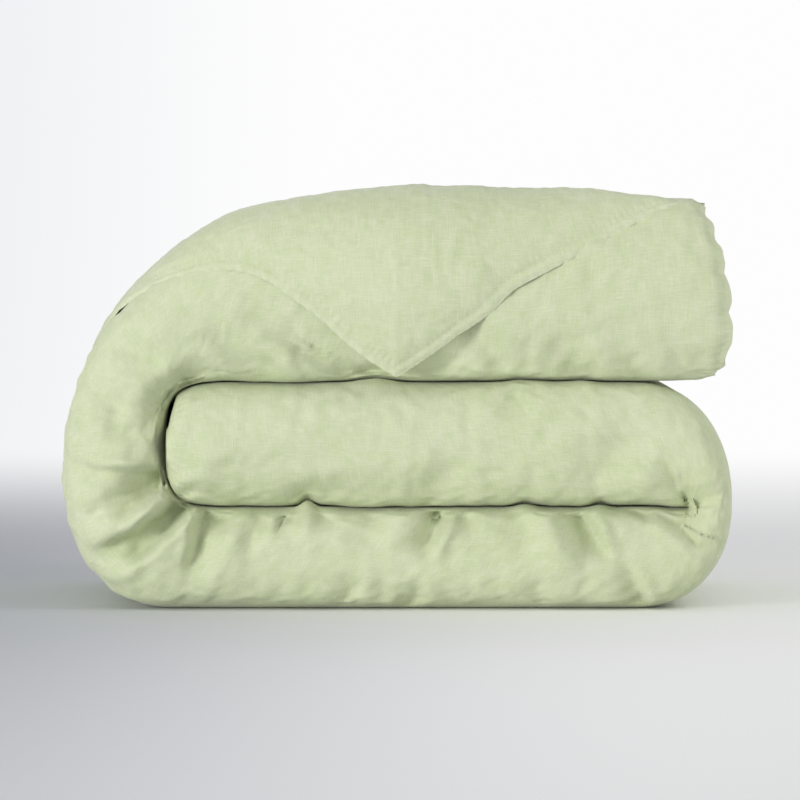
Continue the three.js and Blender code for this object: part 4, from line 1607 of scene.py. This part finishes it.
class Shading:
    """A new material and the nodes that the finishes are made of.

    Args:
        name: the material's name.
        roughness: from 0, glossy, to 1.
    """

    def __init__(self, name: str, roughness: float) -> None:
        self.material = bpy.data.materials.new(name)
        self.material.use_nodes = True
        self.nodes = self.material.node_tree.nodes
        self.links = self.material.node_tree.links
        self.shader = self.nodes["Principled BSDF"]
        self.shader.inputs["Roughness"].default_value = roughness

    def feed(self, socket: bpy.types.NodeSocket, value: Source) -> None:
        """Links a socket to another, or sets it to a number or a colour."""
        if isinstance(value, bpy.types.NodeSocket):
            self.links.new(value, socket)
        else:
            socket.default_value = (*value, 1.0) if isinstance(value, tuple) else value

    def combine(self, operation: str, a: Source, b: Source) -> bpy.types.NodeSocket:
        """Adds or multiplies two values."""
        node = self.nodes.new("ShaderNodeMath")
        node.operation = operation
        self.feed(node.inputs[0], a)
        self.feed(node.inputs[1], b)
        return node.outputs[0]

    def noise(self, vector: Source, scale: float) -> bpy.types.Node:
        """A noise texture over a place."""
        node = self.nodes.new("ShaderNodeTexNoise")
        node.inputs["Scale"].default_value = scale
        self.feed(node.inputs["Vector"], vector)
        return node

    def ramp(self, value: Source, low: float, high: float, eased: bool = False) -> bpy.types.NodeSocket:
        """A value carried from low to high onto 0 to 1."""
        node = self.nodes.new("ShaderNodeMapRange")
        if eased:
            node.interpolation_type = "SMOOTHSTEP"
        node.inputs["From Min"].default_value = low
        node.inputs["From Max"].default_value = high
        self.feed(node.inputs["Value"], value)
        return node.outputs["Result"]

    def tint(self, share: Source, a: Source, b: Source) -> bpy.types.NodeSocket:
        """Colour a at a share of 0, and b at 1."""
        node = self.nodes.new("ShaderNodeMix")
        node.data_type = "RGBA"
        for name, value in (("Factor", share), ("A", a), ("B", b)):
            self.feed(node.inputs[name], value)
        return node.outputs["Result"]


@dataclass(frozen=True)
class Linen:
    """Washed linen: a plain weave with slubs, heathered, and paler where its seams are rubbed.

    Args:
        name: the material's name.
        base: linear colour.
        pale: colour of the paler threads.
        deep: colour of the deeper blotches.
        bump: strength of the weave's relief.
        thread: height of the weave's relief, in metres.
    """

    name: str
    base: tuple[float, float, float] = (0.600, 0.650, 0.432)
    pale: tuple[float, float, float] = (0.735, 0.740, 0.600)
    deep: tuple[float, float, float] = (0.500, 0.600, 0.325)
    bump: float = 0.35
    thread: float = 0.0006

    def build(self) -> bpy.types.Material:
        """Makes the material.

        Returns:
            The node material.
        """
        shading = Shading(self.name, 0.92)
        shader = shading.shader
        shader.inputs["Specular IOR Level"].default_value = 0.18
        shader.inputs["Sheen Weight"].default_value = 0.22
        shader.inputs["Sheen Roughness"].default_value = 0.5
        uv = shading.nodes.new("ShaderNodeUVMap")
        uv.uv_map = "UVMap"
        found = {}
        for name, scale, detail, shift in (
            ("warp", (75.0, 1150.0), 2.0, 0.0),
            ("weft", (1150.0, 75.0), 2.0, 3.0),
            ("slub", (30.0, 700.0), 1.0, 7.0),
            ("slub_across", (700.0, 30.0), 1.0, 11.0),
            ("blotch", (70.0, 70.0), 3.0, 17.0),
            ("broad", (9.0, 9.0), 2.0, 23.0),
        ):
            mapping = shading.nodes.new("ShaderNodeMapping")
            mapping.inputs["Scale"].default_value = (*scale, 1.0)
            mapping.inputs["Location"].default_value = (shift, shift * 0.7, 0.0)
            shading.links.new(uv.outputs["UV"], mapping.inputs["Vector"])
            texture = shading.noise(mapping.outputs["Vector"], 1.0)
            texture.inputs["Detail"].default_value = detail
            texture.inputs["Roughness"].default_value = 0.6
            found[name] = texture.outputs["Fac"]
        threads = shading.combine("ADD", found["warp"], found["weft"])
        seam = shading.nodes.new("ShaderNodeAttribute")
        seam.attribute_name = "seam"
        colour = self.base
        for value, low, high, over, amount in (
            (found["blotch"], 0.36, 0.64, self.deep, 0.55),
            (found["broad"], 0.40, 0.65, self.pale, 0.22),
            (threads, 0.95, 1.30, self.pale, 0.42),
            (threads, 1.02, 0.74, self.deep, 0.36),
            (found["slub"], 0.62, 0.76, self.pale, 0.40),
            (found["slub_across"], 0.62, 0.76, self.pale, 0.40),
            (seam.outputs["Fac"], 0.006, 0.0, self.pale, 0.25),
        ):
            share = shading.combine("MULTIPLY", shading.ramp(value, low, high), amount)
            colour = shading.tint(share, colour, over)
        shading.links.new(colour, shader.inputs["Base Color"])
        relief = shading.nodes.new("ShaderNodeBump")
        relief.inputs["Strength"].default_value = self.bump
        relief.inputs["Distance"].default_value = self.thread
        slubs = shading.combine("ADD", found["slub"], found["slub_across"])
        shading.links.new(shading.combine("ADD", threads, slubs), relief.inputs["Height"])
        shading.links.new(relief.outputs["Normal"], shader.inputs["Normal"])
        return shading.material


@dataclass(frozen=True)
class Plain:
    """A plain finish with fine grain.

    Args:
        name: the material's name.
        colour: linear colour.
        roughness: from 0, glossy, to 1.
        grain: scale of the colour's variation, in cycles a metre.
        amount: how much the colour varies.
    """

    name: str
    colour: tuple[float, float, float]
    roughness: float
    grain: float = 300.0
    amount: float = 0.12

    def build(self) -> bpy.types.Material:
        """Makes the material.

        Returns:
            The node material.
        """
        shading = Shading(self.name, self.roughness)
        place = shading.nodes.new("ShaderNodeTexCoord")
        texture = shading.noise(place.outputs["Object"], self.grain)
        darker = tuple(c * (1.0 - 2.0 * self.amount) for c in self.colour)
        colour = shading.tint(texture.outputs["Fac"], self.colour, darker)
        shading.links.new(colour, shading.shader.inputs["Base Color"])
        return shading.material


@dataclass(frozen=True)
class Studio:
    """A pale sweep with painted shadow at its left, soft lights from the upper right and low at the left
    front, and a long lens.

    Args:
        centre: the point looked at.
        distance: from the camera to that point.
        elevation: of the camera above the horizon, in degrees.
        wide: width seen at the pile's front.
        world: strength of the light from all round.
        key: power of the light at the upper right, in watts.
        front: power of the light at the left front, in watts.
        turn_up: radius that the floor turns up by.
        floor_back: where the floor starts to turn up.
        floor_front: where the floor starts.
        half_width: half the sweep's width.
        top: the sweep's height.
    """

    centre: tuple[float, float, float] = (0.0005, -0.2198, 0.2184)
    distance: float = 5.0
    elevation: float = 2.0
    wide: float = 0.824
    world: float = 0.54
    key: float = 9.0
    front: float = 76.0
    turn_up: float = 1.6
    floor_back: float = 3.4
    floor_front: float = -7.0
    half_width: float = 7.0
    top: float = 6.0

    def sweep(self) -> None:
        """The floor that turns up into a backdrop."""
        steps = 16
        profile = [(self.floor_front, 0.0), (self.floor_back, 0.0)]
        for i in range(1, steps + 1):
            a = math.pi / 2.0 * i / steps
            rise = self.turn_up * (1.0 - math.cos(a))
            profile.append((self.floor_back + self.turn_up * math.sin(a), rise))
        profile.append((self.floor_back + self.turn_up, self.top))
        bm = bmesh.new()
        bmesh.ops.create_grid(bm, x_segments=1, y_segments=len(profile) - 1, size=0.5)
        for v in bm.verts:
            y, z = profile[int(round((v.co.y + 0.5) * (len(profile) - 1)))]
            v.co = Vector((math.copysign(self.half_width, v.co.x), y, z))
        mesh = bpy.data.meshes.new("studio_sweep")
        bm.to_mesh(mesh)
        bm.free()
        for polygon in mesh.polygons:
            polygon.use_smooth = True
        obj = bpy.data.objects.new("studio_sweep", mesh)
        bpy.context.scene.collection.objects.link(obj)
        mesh.materials.append(self.paper())

    @staticmethod
    def paper() -> bpy.types.Material:
        """Pale paper, glowing at the back, with painted shadow over the left of both its glow and the floor.
        """
        shading = Shading("studio_paper", 0.9)
        shader, links = shading.shader, shading.links
        shader.inputs["Specular IOR Level"].default_value = 0.05
        place = shading.nodes.new("ShaderNodeTexCoord")
        axes = shading.nodes.new("ShaderNodeSeparateXYZ")
        links.new(place.outputs["Object"], axes.inputs["Vector"])
        # Painted shadow: the floor's base colour greys towards the left, where the pile's shadow falls.
        painted_floor_shadow = shading.ramp(axes.outputs["X"], 0.25, -0.60, True)
        links.new(shading.tint(painted_floor_shadow, (0.95, 0.952, 0.958), (0.50, 0.52, 0.56)), shader.inputs["Base Color"])
        # The back of the sweep glows rather than being lit; the glow darkens towards the left as painted
        # shadow.
        glow = shading.nodes.new("ShaderNodeEmission")
        painted_wall_shadow = shading.ramp(axes.outputs["X"], -0.10, -0.95, True)
        links.new(shading.tint(painted_wall_shadow, (0.985, 0.985, 0.985), (0.87, 0.88, 0.90)), glow.inputs["Color"])
        join = shading.nodes.new("ShaderNodeMixShader")
        links.new(shading.ramp(axes.outputs["Y"], 0.6, 3.6, True), join.inputs[0])
        links.new(shader.outputs[0], join.inputs[1])
        links.new(glow.outputs[0], join.inputs[2])
        links.new(join.outputs[0], shading.nodes["Material Output"].inputs["Surface"])
        return shading.material

    @staticmethod
    def light(name: str, place: tuple, size: float, power: float, colour: tuple) -> None:
        """Adds a square soft light that points at the pile.

        Args:
            name: its name.
            place: where it is.
            size: its side.
            power: in watts.
            colour: its linear colour.
        """
        data = bpy.data.lights.new(name, "AREA")
        data.size, data.energy, data.color = size, power, colour
        obj = bpy.data.objects.new(name, data)
        obj.location = place
        obj.rotation_mode = "QUATERNION"
        obj.rotation_quaternion = (LIT_POINT - Vector(place)).to_track_quat("-Z", "Y")
        bpy.context.scene.collection.objects.link(obj)

    def build(self) -> None:
        """Makes the sweep, the lights, the world and the camera."""
        self.sweep()
        self.light("key_light", (1.7, -0.9, 1.5), 0.9, self.key, (1.0, 0.99, 0.97))
        self.light("front_light", (-2.3, -2.7, 0.42), 1.1, self.front, (1.0, 0.995, 0.985))
        world = bpy.data.worlds.new("studio_world")
        world.use_nodes = True
        background = world.node_tree.nodes["Background"]
        background.inputs["Color"].default_value = (0.985, 0.99, 1.0, 1.0)
        background.inputs["Strength"].default_value = self.world
        scene = bpy.context.scene
        scene.world = world
        scene.view_settings.view_transform = "Standard"
        scene.view_settings.look = "None"
        data = bpy.data.cameras.new("camera")
        data.sensor_width = 36.0
        data.lens = data.sensor_width * self.distance / self.wide
        data.clip_end = 60.0
        camera = bpy.data.objects.new("camera", data)
        tilt = math.radians(self.elevation)
        back = Vector((0.0, -math.cos(tilt), math.sin(tilt)))
        camera.location = Vector(self.centre) + back * self.distance
        camera.rotation_mode = "QUATERNION"
        camera.rotation_quaternion = (-back).to_track_quat("-Z", "Y")
        scene.collection.objects.link(camera)
        scene.camera = camera


@dataclass
class Duvet:
    """The whole duvet: cover, insert, turned corner and the small CAD parts with their finishes."""

    sizes: PileSizes
    finishes: dict[Finish, bpy.types.Material] = field(default_factory=dict)

    def splitter(self, route: StripRoute) -> Splitter:
        """The planes and the lift line, read off the frame's joints."""
        joints = {joint["name"]: joint for joint in frame["joints"]}
        order = list(Zone)
        names = ("unroll_lower", "unroll_middle", "unroll_upper", "unroll_top")
        planes = []
        for k, name in enumerate(names):
            x, _, z = joints[name]["pos_m"]
            planes.append(HingePlane(order[k], order[k + 1], route.core, np.array([x, z])))
        lift = joints["corner_lift"]
        axis = np.array(lift["axis"], float)
        way = np.array([-axis[2], 0.0, axis[0]])
        way = way / np.linalg.norm(way)
        spot = np.array(lift["pos_m"], float)
        return Splitter(
            planes=tuple(planes),
            lift_start=spot + way * 0.010,
            lift_end=spot + way * 0.052,
            lift_left=-0.19,
            lift_right=0.262,
            lift_back=self.sizes.front + 0.050,
        )

    def finish(self, pieces: dict[str, bpy.types.Object], slot: Finish) -> None:
        """Gives pieces the material of their finish slot."""
        for piece in pieces.values():
            piece.data.materials.append(self.finishes[slot])

    def stand_in(self, pieces: dict[str, bpy.types.Object], starts: tuple[str, ...]) -> None:
        """Hides the CAD nodes of the pieces' bodies whose names start as given."""
        for name, obj in frame["nodes"].items():
            if name.startswith(starts):
                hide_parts(pieces[obj["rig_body"]], name)

    def build(self) -> None:
        """Builds every piece, hides the CAD nodes that the pieces replace, and gives the small CAD parts
        their finishes.
        """
        self.finishes = {
            Finish.LINEN: Linen("washed_linen").build(),
            Finish.LINING: Plain("lining_linen", (0.60, 0.66, 0.45), 0.95, 900.0).build(),
            Finish.FILLING: Plain("insert_ticking", (0.88, 0.86, 0.80), 0.95, 700.0, 0.05).build(),
            Finish.BUTTON: Plain("shell_button", (0.78, 0.74, 0.62), 0.25, 160.0, 0.15).build(),
            Finish.TAPE: Plain("cotton_tape", (0.86, 0.88, 0.80), 0.9, 900.0, 0.08).build(),
        }
        route = StripRoute(self.sizes)
        section = Section(self.sizes)
        outer = OuterTable.of(route)
        ridge = Ridge()
        splitter = self.splitter(route)

        inside = Section(
            self.sizes, front_run=0.020, front_half=0.040, hem_inset=0.040, inner_hem_inset=0.095,
            cut_inset=0.025,
        )
        cover = DuvetStrip(self.sizes, route, section, outer, ridge)
        insert = DuvetStrip(self.sizes, route, inside, outer, ridge, 0.025, 0.12, False)
        corner = TurnedCorner(self.sizes, outer, section, ridge)
        corner_insert = TurnedCorner(
            self.sizes, outer, section, ridge, spacing=0.016, fat=0.25, crumple=False, inset=0.045,
            lining_height=0.0075,
        )
        for name, part, slot, fill, starts in (
            ("cover", cover, Finish.LINEN, 0.6, ("cover_",)),
            ("insert", insert, Finish.FILLING, 0.6, ("fill_",)),
            ("corner", corner, Finish.LINEN, 0.5, ("flap_face", "flap_lining")),
            ("corner_insert", corner_insert, Finish.FILLING, 0.5, ("flap_fill",)),
        ):
            whole = part.build()
            hanging = isinstance(part, TurnedCorner)
            kept = np.ones(len(whole.places), bool) if hanging else whole.station < FREE_STATIONS
            pieces = splitter.cut(whole, name, kept, hanging)
            self.finish(pieces, slot)
            self.stand_in(pieces, starts)

        for name, obj in frame["nodes"].items():
            for start, slot in (
                ("closure_button", Finish.BUTTON),
                ("closure_placket", Finish.LINING),
                ("closure_facing", Finish.LINING),
                ("corner_tie", Finish.TAPE),
                ("care_label", Finish.TAPE),
            ):
                if name.startswith(start):
                    obj.data.materials.clear()
                    obj.data.materials.append(self.finishes[slot])


def main() -> None:
    """Builds the duvet and the studio."""
    logging.basicConfig(level=logging.INFO)
    duvet = Duvet(PileSizes.from_frame())
    duvet.build()
    Studio().build()
    bpy.context.view_layer.update()


if __name__ == "__main__":
    main()
